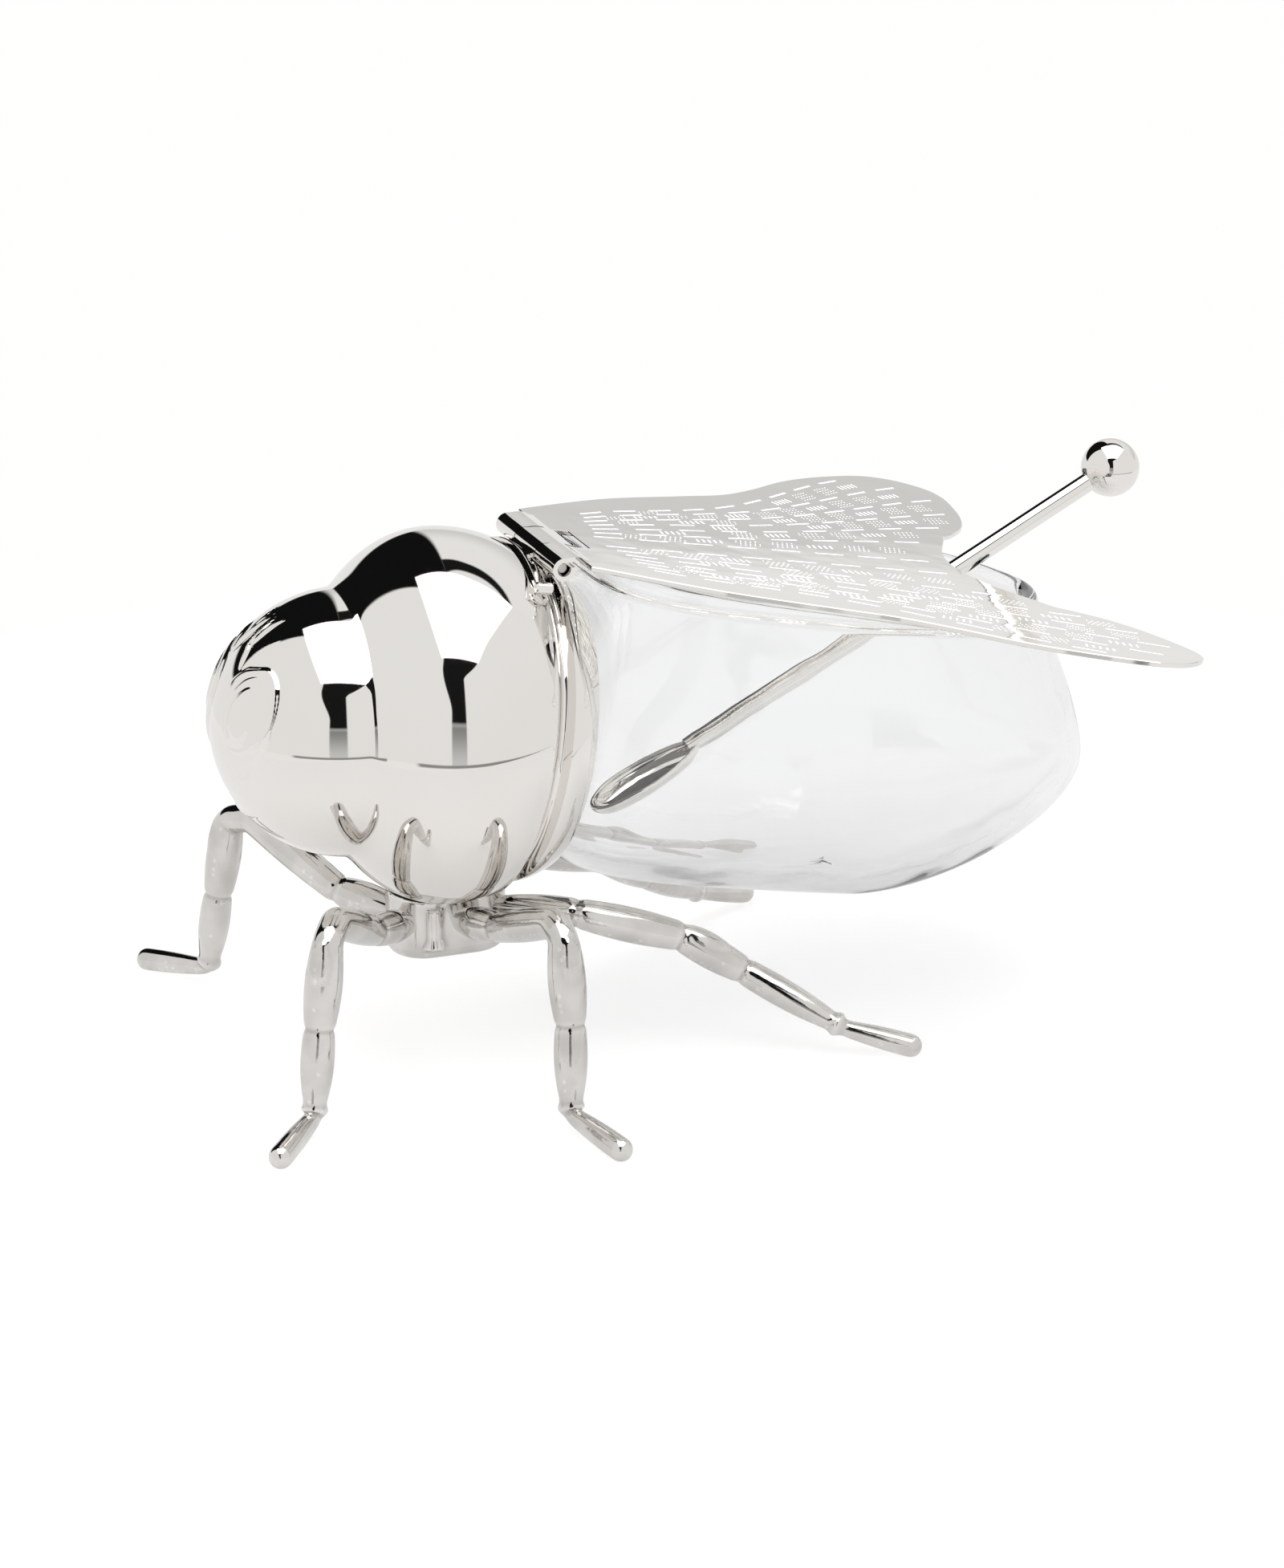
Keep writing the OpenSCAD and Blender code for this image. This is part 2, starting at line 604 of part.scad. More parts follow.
module leg_hub() {
    color(cast_nickel) difference() {
        union() {
            hub_form(0);
            hub_lugs();
        }
        shell_form(-seat);
        round_body() translate([0, 0, shell_end]) cylinder(r = band_r + run_gap, h = groove_w + band_w);
        for (leg = [front_leg, middle_leg, rear_leg], flip = [0, 1]) mirror([0, flip, 0])
            between(leg_root(leg) - socket_d * leg_dir(leg), leg_root(leg) + 2 * leg_dir(leg))
                cylinder(r = spigot_r + slip, h = socket_d + 2);
        translate([screw_x, 0, hub_z - over_cut]) {
            cylinder(r = screw_hole_r, h = reach);
            cylinder(r = screw_head_r + run_gap, h = head_z - hub_z + screw_head_h + seat + over_cut);
        }
    }
}

module hub_screw() {
    slot = [2 * screw_head_r + 1, 0.9, 1.1];
    color(cast_nickel) translate([screw_x, 0, head_z]) difference() {
        union() {
            cylinder(r = screw_head_r, h = screw_head_h);
            cylinder(r = screw_r, h = screw_len + screw_head_h);
        }
        translate([-slot.x / 2, -slot.y / 2, -0.01]) cube(slot);
    }
}

module shell_boss() {
    floor_z = thorax_z - thorax_r + shell_wall;
    color(cast_nickel) difference() {
        intersection() {
            translate([screw_x, 0, floor_z - 1]) cylinder(r = boss_r, h = boss_h + 1);
            shell_form(shell_wall + seat);
        }
        translate([screw_x, 0, 0]) cylinder(r = screw_r + slip, h = thorax_z);
    }
}

// ---- Spoon ----

// z runs up the stem from the tip of the spoon
module on_spoon() {
    translate([thorax_x, 0, thorax_z]) between(tip, tip + stem_dir) children();
}

module spoon_stem() {
    color(nickel) on_spoon() translate([0, 0, scoop_len - stem_seat])
        cylinder(r = stem_r, h = spoon_len - scoop_len + stem_seat);
}

module spoon_ball() {
    color(nickel) on_spoon() translate([0, 0, spoon_len]) difference() {
        sphere(r = ball_r);
        translate([0, 0, -ball_r - over_cut]) cylinder(r = stem_r + slip, h = ball_r + over_cut + seat);
    }
}

// Oval outline of the scoop, drawn in by `inset` and lying `deep` below its edge
function scoop_ring(inset, deep, count) = [for (i = [0:count - 1]) let(a = -360 * i / count)
    [-deep, (scoop_w - inset) * sin(a) * (1 - 0.2 * cos(a)),
        scoop_len / 2 + (scoop_len / 2 - inset) * cos(a)]];

module spoon_scoop() {
    count = 28;
    outside = [for (i = [1:6]) let(a = 90 * i / 6)
        scoop_ring(scoop_w * (1 - sin(a)), scoop_d * cos(a), count)];
    inside = [for (i = [6:-1:1]) let(a = 90 * i / 6)
        scoop_ring(scoop_wall + (scoop_w - scoop_wall) * (1 - sin(a)), (scoop_d - scoop_wall) * cos(a),
            count)];
    color(nickel) on_spoon() difference() {
        skin(concat(outside, inside), [-scoop_d, 0, scoop_len / 2], [scoop_wall - scoop_d, 0, scoop_len / 2]);
        translate([0, 0, scoop_len - stem_seat - 2 * slip])
            cylinder(r = stem_r + slip, h = stem_seat + over_cut);
    }
}

head_thorax_shell();
rear_collar();
glass_seal();
glass_bowl();
wing_lid();
hinge_leaf();
hinge_pin();
leg_hub();
front_leg_left();
front_leg_right();
middle_leg_left();
middle_leg_right();
rear_leg_left();
rear_leg_right();
hub_screw();
shell_boss();
spoon_stem();
spoon_ball();
spoon_scoop();
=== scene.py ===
# %% [markdown]
# # A bee that keeps honey
# The object is a table pot: a polished nickel head and thorax, six cast legs, a clear glass bowl for
# the abdomen, a pierced sheet of wings as the lid, and a loose spoon with a ball on its end.
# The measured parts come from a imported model, which is the frame. Everything here dresses it:
# each piece below stands in the place of one part of the frame, with a finer surface and a finish.
# Shapes are worked out in millimetres, because the parts are small, and turned to metres once.

# %% The frame and the imports
import json
import math

import bmesh
import bpy
import numpy as np
from mathutils import Matrix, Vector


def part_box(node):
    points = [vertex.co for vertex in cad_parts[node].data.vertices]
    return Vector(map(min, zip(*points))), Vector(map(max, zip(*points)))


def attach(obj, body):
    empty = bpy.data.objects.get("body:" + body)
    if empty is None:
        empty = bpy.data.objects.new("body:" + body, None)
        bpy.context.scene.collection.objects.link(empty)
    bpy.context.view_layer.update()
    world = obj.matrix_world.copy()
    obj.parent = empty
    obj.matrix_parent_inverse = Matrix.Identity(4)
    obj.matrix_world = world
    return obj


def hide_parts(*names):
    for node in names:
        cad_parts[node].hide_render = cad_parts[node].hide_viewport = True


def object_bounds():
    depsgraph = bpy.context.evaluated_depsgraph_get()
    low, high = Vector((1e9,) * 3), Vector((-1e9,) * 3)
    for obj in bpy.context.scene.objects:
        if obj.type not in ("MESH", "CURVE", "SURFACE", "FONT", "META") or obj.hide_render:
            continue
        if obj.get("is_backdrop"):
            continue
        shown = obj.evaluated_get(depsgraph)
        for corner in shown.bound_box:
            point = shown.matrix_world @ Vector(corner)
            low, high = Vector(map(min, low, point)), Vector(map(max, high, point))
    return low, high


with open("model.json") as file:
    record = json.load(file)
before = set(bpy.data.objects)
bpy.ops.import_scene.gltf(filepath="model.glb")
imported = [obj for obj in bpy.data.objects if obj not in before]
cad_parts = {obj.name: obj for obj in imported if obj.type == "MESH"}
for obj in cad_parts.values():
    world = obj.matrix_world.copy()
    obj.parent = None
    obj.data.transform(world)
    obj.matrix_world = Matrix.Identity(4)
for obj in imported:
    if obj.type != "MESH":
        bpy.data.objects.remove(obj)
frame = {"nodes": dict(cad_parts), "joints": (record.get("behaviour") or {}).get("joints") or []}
frame_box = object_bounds()
MM = 0.001

# %% [markdown]
# ## Where things lie
# The body leans: its axis drops ten degrees towards the tail, and the head's axis leans almost none.
# Places along the body are easier to think of as "so far behind the thorax, so far above the axis",
# so one function turns such a place into the upright frame of the table. The thorax centre is
# read back from the hinge of the frame, so the dress can't drift away from the parts.

# %% Body axes
BODY_TILT = math.radians(10)
THORAX_R, THORAX_HALF = 36.6, 32.0
HEAD_R, HEAD_AHEAD, HEAD_RISE = 26.0, 18.5, 0.9
THORAX_FRONT, WAIST_BLEND = 26.8, 2.7   # the thorax rounds off sooner towards the head
SHELL_WALL, SHELL_END = 1.2, 12.2
KNUCKLE_R, PIN_R, HINGE_DROP, KNUCKLE_PROUD = 2.25, 1.1, 1.7, 0.25
HINGE_S = SHELL_END + KNUCKLE_R
HINGE_H = THORAX_R - HINGE_DROP

along = np.array([math.cos(BODY_TILT), 0.0, -math.sin(BODY_TILT)])
across = np.array([0.0, 1.0, 0.0])
rise = np.array([math.sin(BODY_TILT), 0.0, math.cos(BODY_TILT)])

hinge = next(j for j in frame["joints"] if j["name"] == "lid_hinge")
thorax = np.array(hinge["pos_m"]) / MM - HINGE_S * along - HINGE_H * rise

head_tilt = math.atan2(HEAD_RISE, HEAD_AHEAD)
forward = np.array([-math.cos(head_tilt), 0.0, math.sin(head_tilt)])
crown = np.array([math.sin(head_tilt), 0.0, math.cos(head_tilt)])
HEAD_OFF = math.hypot(HEAD_AHEAD, HEAD_RISE)
head = thorax + HEAD_OFF * forward


def on_body(s, y, h):
    """Places given along the body axis, across it and above it, as points in millimetres."""
    s, y, h = np.broadcast_arrays(*(np.asarray(v, float) for v in (s, y, h)))
    return thorax + s[..., None] * along + y[..., None] * across + h[..., None] * rise


print("thorax centre (mm):", np.round(thorax, 2), "head centre:", np.round(head, 2))

# %% [markdown]
# ## Skins from rows of points
# Nearly every piece here is a skin stretched over rows of points, as a basket is woven over hoops.
# A grid of four-sided faces keeps polished metal calm: mirrors show every uneven face.
# A row can close on itself, and the first and last rows can close on a pole.

# %% Mesh helpers
def piece(name, points, faces=(), edges=(), smooth=True):
    """A new mesh object at the origin, from points in millimetres."""
    mesh = bpy.data.meshes.new(name)
    mesh.from_pydata((np.asarray(points) * MM).tolist(), edges, faces)
    mesh.polygons.foreach_set("use_smooth", [smooth] * len(mesh.polygons))
    mesh.update()
    made = bpy.data.objects.new(name, mesh)
    bpy.context.scene.collection.objects.link(made)
    return made


def face_outwards(made):
    """Merges doubles and turns every face of a closed shape outwards."""
    work = bmesh.new()
    work.from_mesh(made.data)
    bmesh.ops.remove_doubles(work, verts=work.verts, dist=1e-7)
    bmesh.ops.recalc_face_normals(work, faces=work.faces)
    work.to_mesh(made.data)
    work.free()
    made.data.update()
    return made


def skin(name, rows, first=None, last=None, ring=True):
    """Skin over rows (m, n, 3), closed on its poles or, as a ring, from the last row to the first."""
    m, n = rows.shape[:2]
    points = list(rows.reshape(-1, 3))
    faces = []
    closed = ring and first is None and last is None
    for j in range(m if closed else m - 1):
        a, b = j * n, (j + 1) % m * n
        faces += [(a + i, a + (i + 1) % n, b + (i + 1) % n, b + i) for i in range(n)]
    if first is not None:
        points.append(first)
        faces += [(len(points) - 1, (i + 1) % n, i) for i in range(n)]
    if last is not None:
        points.append(last)
        k = (m - 1) * n
        faces += [(len(points) - 1, k + i, k + (i + 1) % n) for i in range(n)]
    return face_outwards(piece(name, points, faces))


def turned(name, profile, origin, axis, side, up, count=144):
    """Piece turned on a lathe: profile holds (radius, place along the axis), as a closed outline."""
    angle = np.arange(count) * 2 * math.pi / count
    around = np.cos(angle)[:, None] * up + np.sin(angle)[:, None] * side
    profile = np.asarray(profile, float)
    rows = origin + profile[:, 1, None, None] * axis + profile[:, 0, None, None] * around[None]
    return skin(name, rows)


def bar_profile(radius, half, edge):
    """Outline of a round bar with chamfered ends, for the lathe."""
    return [(0, -half), (radius - edge, -half), (radius, edge - half),
            (radius, half - edge), (radius - edge, half), (0, half)]


def corner(centre, radius, start, stop, steps=5):
    """Points of a rounded corner in a profile, with its angles in degrees."""
    a = np.radians(np.linspace(start, stop, steps))
    return [(centre[0] + radius * math.cos(t), centre[1] + radius * math.sin(t)) for t in a]


def spread(points, step):
    """The same open path with extra points, none further apart than `step`."""
    points = np.asarray(points, float)
    out = [points[0]]
    for a, b in zip(points[:-1], points[1:]):
        n = max(1, math.ceil(np.linalg.norm(b - a) / step))
        out += [a + (b - a) * k / n for k in range(1, n + 1)]
    return np.array(out)


def through(points, steps):
    """Smooth curve through a list of points."""
    p = np.asarray(points, float)
    p = np.vstack([p[0], p, p[-1]])
    t = np.arange(steps)[:, None] / steps
    parts = [0.5 * (2 * b + (c - a) * t + (2 * a - 5 * b + 4 * c - d) * t**2
                    + (3 * b - a - 3 * c + d) * t**3) for a, b, c, d in zip(p, p[1:], p[2:], p[3:])]
    return np.vstack(parts + [p[-1:]])


def sharpen(made, degrees=35):
    """Smooth shading that stops at edges sharper than the angle."""
    made.data.set_sharp_from_angle(angle=math.radians(degrees))


def finished(made):
    """Replaces an object's modifiers by the mesh that they make."""
    mesh = bpy.data.meshes.new_from_object(made.evaluated_get(bpy.context.evaluated_depsgraph_get()))
    made.modifiers.clear()
    made.data = mesh
    return made


print("helpers ready")

# %% [markdown]
# ## Finishes
# Polished nickel is a mirror with a faint yellow warmth. It is never perfect: hand buffing leaves it
# a little wavy and a little hazy in places. One node group gives such soft unevenness, and each
# material places it with its own scale: wide and weak on the buffed shell, small and strong on the
# castings, long on turned steel, and slow ripples in the blown glass.

# %% Node helpers
def node(tree, kind, inputs=(), **settings):
    """Adds a node, sets its options, and fills or links its inputs."""
    made = tree.nodes.new(kind)
    for key, value in settings.items():
        setattr(made, key, value)
    for key, value in dict(inputs).items():
        if isinstance(value, bpy.types.NodeSocket):
            tree.links.new(value, made.inputs[key])
        else:
            made.inputs[key].default_value = value
    return made


def maths(tree, operation, a, b=0.0):
    """Output of a Math node."""
    return node(tree, "ShaderNodeMath", {0: a, 1: b}, operation=operation).outputs[0]


def ramp(tree, value, low, high, to_low=0.0, to_high=1.0):
    """Output of a smooth step from one value to another."""
    return node(tree, "ShaderNodeMapRange", {"Value": value, "From Min": low, "From Max": high,
                "To Min": to_low, "To Max": to_high}, interpolation_type="SMOOTHSTEP").outputs[0]


# %% The unevenness group
def unevenness_group():
    """Soft random waves over a surface: a mask from 0 to 1 and a height in metres."""
    tree = bpy.data.node_groups.new("surface_unevenness", "ShaderNodeTree")
    face = tree.interface
    face.new_socket("Vector", in_out="INPUT", socket_type="NodeSocketVector")
    for name in ("Scale", "Detail", "Wave Height"):
        face.new_socket(name, in_out="INPUT", socket_type="NodeSocketFloat")
    for name in ("Mask", "Height"):
        face.new_socket(name, in_out="OUTPUT", socket_type="NodeSocketFloat")
    into = node(tree, "NodeGroupInput").outputs
    noise = node(tree, "ShaderNodeTexNoise",
                 {"Vector": into["Vector"], "Scale": into["Scale"], "Detail": into["Detail"]})
    mask = ramp(tree, noise.outputs["Fac"], 0.3, 0.7)
    height = maths(tree, "MULTIPLY", noise.outputs["Fac"], into["Wave Height"])
    node(tree, "NodeGroupOutput", {"Mask": mask, "Height": height})
    return tree


UNEVENNESS = unevenness_group()


def uneven(tree, scale, detail, height, stretch=(1, 1, 1)):
    """Places the group on object coordinates and returns its outputs."""
    place = node(tree, "ShaderNodeTexCoord").outputs["Object"]
    place = node(tree, "ShaderNodeMapping", {"Vector": place, "Scale": stretch}).outputs[0]
    made = node(tree, "ShaderNodeGroup", node_tree=UNEVENNESS)
    tree.links.new(place, made.inputs["Vector"])
    for key, value in (("Scale", scale), ("Detail", detail), ("Wave Height", height)):
        made.inputs[key].default_value = value
    return made.outputs


def material(name):
    """New material with its tree emptied down to a Principled shader and the output."""
    made = bpy.data.materials.new(name)
    made.use_nodes = True
    tree = made.node_tree
    tree.nodes.clear()
    shader = node(tree, "ShaderNodeBsdfPrincipled")
    out = node(tree, "ShaderNodeOutputMaterial", {"Surface": shader.outputs[0]})
    return made, tree, shader, out


def between_colours(tree, mask, a, b):
    """Output of a mix of two colours."""
    mix = node(tree, "ShaderNodeMix", data_type="RGBA")
    tree.links.new(mask, mix.inputs["Factor"])
    mix.inputs["A"].default_value = (*a, 1)
    mix.inputs["B"].default_value = (*b, 1)
    return mix.outputs["Result"]


HOLLOW_TO_FLAT = 0.42, 0.53


def metal(name, colours, rough, wave, grain=None, stretch=(1, 1, 1), body=1.0, crease_shade=None):
    """A metal: two near colours, two roughnesses, broad waves and, if given, a fine grain and a dark shade
    painted into its creases.
    """
    made, tree, shader, _ = material(name)
    broad = uneven(tree, *wave, stretch=stretch)
    shader.inputs["Metallic"].default_value = body
    colour = between_colours(tree, broad["Mask"], *colours)
    # painted shade: where the surface is hollow, the colour turns dark, as the shade in a crease would
    if crease_shade:
        hollow = node(tree, "ShaderNodeNewGeometry").outputs["Pointiness"]
        crease_shade_mask = ramp(tree, hollow, *HOLLOW_TO_FLAT)
        mix = node(tree, "ShaderNodeMix", data_type="RGBA")
        tree.links.new(crease_shade_mask, mix.inputs["Factor"])
        mix.inputs["A"].default_value = (*crease_shade, 1)
        tree.links.new(colour, mix.inputs["B"])
        colour = mix.outputs["Result"]
    tree.links.new(colour, shader.inputs["Base Color"])
    mask, height = broad["Mask"], broad["Height"]
    if grain:
        fine = uneven(tree, *grain, stretch=stretch)
        mask = maths(tree, "MULTIPLY", maths(tree, "ADD", mask, fine["Mask"]), 0.5)
        height = maths(tree, "ADD", height, fine["Height"])
    tree.links.new(ramp(tree, mask, 0.0, 1.0, *rough), shader.inputs["Roughness"])
    bump = node(tree, "ShaderNodeBump", {"Height": height, "Distance": 1.0})
    tree.links.new(bump.outputs[0], shader.inputs["Normal"])
    return made


# %% [markdown]
# ### The metals
# The shell, the collar, the lid, the hinge and the spoon are polished to a mirror. The legs and
# their hub are cast and then plated, so they keep the soft skin of a casting under the plate;
# their creases are painted dark, as shade.
# Sheet shows more waves than a spun shell, because nothing stiff stood behind it at the wheel.
# The pin and the screw are turned steel. The slots of the lid are etched, which leaves them matt;
# their walls get a faint painted glow, an emission in place of the room's light coming up through them.

# %% Metal materials
NICKEL = ((0.84, 0.815, 0.785), (0.86, 0.84, 0.81))
BUFFING = (900.0, 2.0, 0.0000002)        # scale, detail and height, like each wave below
PAINTED_SLOT_GLOW = 0.6
polished_nickel = metal("nickel_mirror", NICKEL, (0.018, 0.04), (30.0, 2.0, 0.00004), BUFFING)
sheet_nickel = metal("nickel_sheet", NICKEL, (0.03, 0.07), (70.0, 2.0, 0.00012), BUFFING)
# the castings' last colour is a painted shade for their creases
cast_nickel = metal("nickel_casting", ((0.70, 0.68, 0.655), (0.83, 0.81, 0.785)), (0.05, 0.11),
                    (140.0, 2.0, 0.00012), (1500.0, 3.0, 0.000006), crease_shade=(0.13, 0.11, 0.095))
pin_steel = metal("turned_steel", ((0.50, 0.49, 0.48), (0.62, 0.61, 0.60)), (0.18, 0.34),
                  (400.0, 2.0, 0.00001), stretch=(1, 0.1, 1))
etched_nickel_painted_glow = metal("nickel_etched_painted_glow", ((0.88, 0.875, 0.865), (0.94, 0.935, 0.925)), (0.45, 0.6),
                      (700.0, 2.0, 0.00001), body=0.15)
# painted light: the slot walls glow by emission, in place of the room's light coming up through the slots
etched_nickel_painted_glow.node_tree.nodes["Principled BSDF"].inputs["Emission Strength"].default_value = PAINTED_SLOT_GLOW
print("metals:", [m.name for m in (polished_nickel, sheet_nickel, cast_nickel, pin_steel, etched_nickel_painted_glow)])

# %% [markdown]
# ### Glass and rubber
# The bowl is blown into a mould, so its skin is fire-polished but not flat: slow ripples bend what
# is seen through it. Glass is a transmission shader with a plain index of 1.5, and the ripples go
# in as a bump. Under the collar lies a soft seal, matt and greyish.

# %% Glass and rubber materials
RIPPLES = (45.0, 1.5, 0.0006)


def glass_material():
    """Clear glass whose skin ripples a little."""
    made, tree, shader, _ = material("blown_glass")
    shader.inputs["Base Color"].default_value = (0.982, 0.986, 0.988, 1)
    shader.inputs["Transmission Weight"].default_value = 1.0
    shader.inputs["Roughness"].default_value = 0.0
    shader.inputs["IOR"].default_value = 1.5
    waves = uneven(tree, *RIPPLES)
    bump = node(tree, "ShaderNodeBump", {"Height": waves["Height"], "Distance": 1.0})
    tree.links.new(bump.outputs[0], shader.inputs["Normal"])
    return made


def rubber_material():
    """Soft grey rubber, matt and a little patchy."""
    made, tree, shader, _ = material("soft_rubber")
    waves = uneven(tree, 300.0, 2.0, 0.00002)
    tree.links.new(between_colours(tree, waves["Mask"], (0.60, 0.60, 0.58), (0.68, 0.68, 0.66)),
                   shader.inputs["Base Color"])
    shader.inputs["Roughness"].default_value = 0.5
    return made


clear_glass = glass_material()
seal_rubber = rubber_material()

SLOTS = {"polished_nickel": polished_nickel, "cast_nickel": cast_nickel, "pin_steel": pin_steel,
         "clear_glass": clear_glass, "seal_rubber": seal_rubber}


def dress(made, slot, body, *nodes):
    """Gives a piece its finish unless it has one, sets it on its body and hides the parts of the frame that
    it stands for.
    """
    if not made.data.materials:
        made.data.materials.append(SLOTS[slot])
    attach(made, body)
    if nodes:
        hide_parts(*nodes)
    print(made.name, "faces:", len(made.data.polygons))


# %% [markdown]
# ## Head and thorax
# One pressed and soldered shell, two round forms that flow into each other. Turned on a lathe it
# would be bare; the real one is chased: two great eyes, a fan of lashes over each, and a smile stand
# up from the sheet by half a millimetre. The face is laid out in degrees on the head's globe, as
# longitude from the nose and latitude from the middle, and pushes the points of the skin outwards.

# %% The round forms
def half_round(z, half, r):
    """Radius of an ellipse of that half length at z, and well below zero past its ends."""
    return np.where(np.abs(z) < half, r * np.sqrt(np.clip(1 - (z / half) ** 2, 0, None)), -r)


def shell_radius(z, inset):
    """Radius of the shell at z on the head's axis: two round forms with a soft waist."""
    a = half_round(z, np.where(z > 0, THORAX_FRONT, THORAX_HALF) - inset, THORAX_R - inset)
    b = half_round(z - HEAD_OFF, HEAD_R - inset, HEAD_R - inset)
    near = np.clip(WAIST_BLEND - np.abs(a - b), 0, None) / WAIST_BLEND
    return np.maximum(a, b) + WAIST_BLEND / 4 * near**2


def shell_points(z, angle, inset):
    """Points of the shell at z on the head's axis and an angle round it from the crown."""
    r = shell_radius(z, inset)[..., None]
    around = np.sin(angle)[..., None] * across + np.cos(angle)[..., None] * crown
    return thorax + z[..., None] * forward + r * around


HALVINGS = 40


def cut_place(angle, s, inset):
    """Where a line along the shell meets the plane square to the body at s, by halving."""
    low, high = np.full_like(angle, -THORAX_HALF * 0.8), np.full_like(angle, 10.0)
    for _ in range(HALVINGS):
        middle = (low + high) / 2
        behind = (shell_points(middle, angle, inset) - thorax) @ along > s
        low, high = np.where(behind, middle, low), np.where(behind, high, middle)
    return (low + high) / 2


# %% [markdown]
# ### The face
# Each feature is a smooth curve with a half width and a height. A point near the curve is lifted by
# a rounded profile. The eye is a raised pad inside a drop-shaped outline, with a smaller raised iris,
# an upper and a lower lid. The lashes swell in the middle and run out to points.

# %% Face layout
EYE = [(31, 37), (38, 34.5), (42, 28), (42.5, 17.5), (38.5, 6), (30.5, -7), (24, -12.2), (20, -9),
       (14.5, 0.5), (9.8, 10.5), (8, 20), (11, 28.5), (19, 34.5)]
IRIS = [(27.5, 27.3), (22, 25), (18, 18.5), (17.6, 11.5), (20.6, 6.6), (25, 5.2), (29.2, 8.6),
        (31.2, 14.6), (31.2, 21)]
UPPER_LID = [(34, 32.5), (28, 32), (21.5, 29), (16.4, 22), (15, 13), (16.5, 5), (18.5, 0.5)]
LOWER_LID = [(18.5, 0.5), (26, 0.6), (33, 5), (39.4, 11)]
LASHES = [[(11, 33), (8.3, 39.5), (5, 47), (3.4, 53)],
          [(7.6, 40.6), (5.6, 49), (4.2, 56), (3.2, 63)],
          [(7.8, 44), (9.8, 52), (14, 59), (22, 63)],
          [(13, 33.5), (17.6, 40.3), (22.6, 46.4), (28.6, 51)]]
SMILE = [(-25, -19.5), (-18, -23.5), (-9, -26), (0, -26.8), (9, -26), (18, -23.5), (25, -19.5)]
CHIN = [(-33, -24), (-27, -30.5), (-12, -34.5), (0, -35.4), (12, -34.5), (27, -30.5), (33, -24)]
PAD_UP, IRIS_UP, LID_UP, LASH_UP, SMILE_IN, CHIN_UP = 0.55, 0.3, 0.28, 0.5, -0.4, 0.35
EDGE, LINE, LASH_W = 0.55, 0.5, 0.85
CURVE_STEPS, FINE, CHUNK, FACE_BACK = 6, 0.15, 4000, 6.0


def on_head(degrees):
    """Points of the head's globe from longitude (towards -Y) and latitude."""
    lon, lat = np.radians(np.asarray(degrees, float)).T
    return np.stack([-np.cos(lat) * np.cos(lon), -np.cos(lat) * np.sin(lon), np.sin(lat)], 1) * HEAD_R


def line_lift(where, curve, half_width, tapered=False):
    """How strongly a curve lifts each point: 1 on it, 0 beyond its half width."""
    curve = spread(curve, FINE)
    width = np.full(len(curve), half_width)
    if tapered:
        width = half_width * np.clip(np.sin(np.linspace(0.03, 1, len(curve)) ** 0.8 * math.pi), 0.12, 1)
    gap = np.linalg.norm(where[:, None] - curve[None], axis=2)
    k = np.argmin(gap / width, axis=1)
    t = np.clip(1 - gap[np.arange(len(where)), k] / width[k], 0, 1)
    return t * t * (3 - 2 * t) * (width[k] / half_width)


def inside_of(x, y, px, py):
    """Which of the places (px, py) lie inside a closed outline, by counting crossings."""
    inside = np.zeros(np.shape(px), bool)
    for xa, ya, xb, yb in zip(x, y, np.roll(x, -1), np.roll(y, -1)):
        if ya != yb:
            inside ^= ((ya > py) != (yb > py)) & (px < (xb - xa) * (py - ya) / (yb - ya) + xa)
    return inside


def inside_lift(where, outline, edge):
    """Signed lift of a closed outline: 0 outside, 1 inside, with a rounded edge."""
    middle = outline.mean(0) / np.linalg.norm(outline.mean(0))
    u = np.cross(middle, [0, 0, 1.0])
    u /= np.linalg.norm(u)
    v = np.cross(u, middle)
    inside = inside_of(outline @ u, outline @ v, where @ u, where @ v)
    dense = spread(np.vstack([outline, outline[:1]]), FINE)
    gap = np.linalg.norm(where[:, None] - dense[None], axis=2).min(1)
    t = np.clip(0.5 + np.where(inside, gap, -gap) / (2 * edge), 0, 1)
    return t * t * (3 - 2 * t)


def open_curve(degrees):
    """Smooth line on the head through points given in degrees."""
    return on_head(through(degrees, CURVE_STEPS))


def closed_curve(degrees):
    """The same as a closed outline."""
    ring = list(degrees)
    ends = 2 * CURVE_STEPS
    return on_head(through(ring[-2:] + ring + ring[:2], CURVE_STEPS)[ends:-ends])


def face_lift(points):
    """Height of the chased face over each point of the shell, in millimetres."""
    where = points - head
    lift = np.zeros(len(points))
    on_globe = np.linalg.norm(where, axis=1) < HEAD_R + 0.2
    close = np.nonzero((where[:, 0] < FACE_BACK) & on_globe)[0]
    for flip in (1, -1):
        for chunk in np.array_split(close, max(1, len(close) // CHUNK)):
            w = where[chunk] * (1, flip, 1)
            up = PAD_UP * inside_lift(w, closed_curve(EYE), EDGE)
            up += IRIS_UP * inside_lift(w, closed_curve(IRIS), EDGE * 0.8)
            for lid in (UPPER_LID, LOWER_LID):
                up += LID_UP * line_lift(w, open_curve(lid), LINE, tapered=True)
            for lash in LASHES:
                up += LASH_UP * line_lift(w, open_curve(lash), LASH_W, tapered=True)
            if flip == 1:
                up += SMILE_IN * line_lift(w, open_curve(SMILE), LINE * 1.5, tapered=True)
                up += CHIN_UP * line_lift(w, open_curve(CHIN), LASH_W * 1.6, tapered=True)
            lift[chunk] += up
    return lift


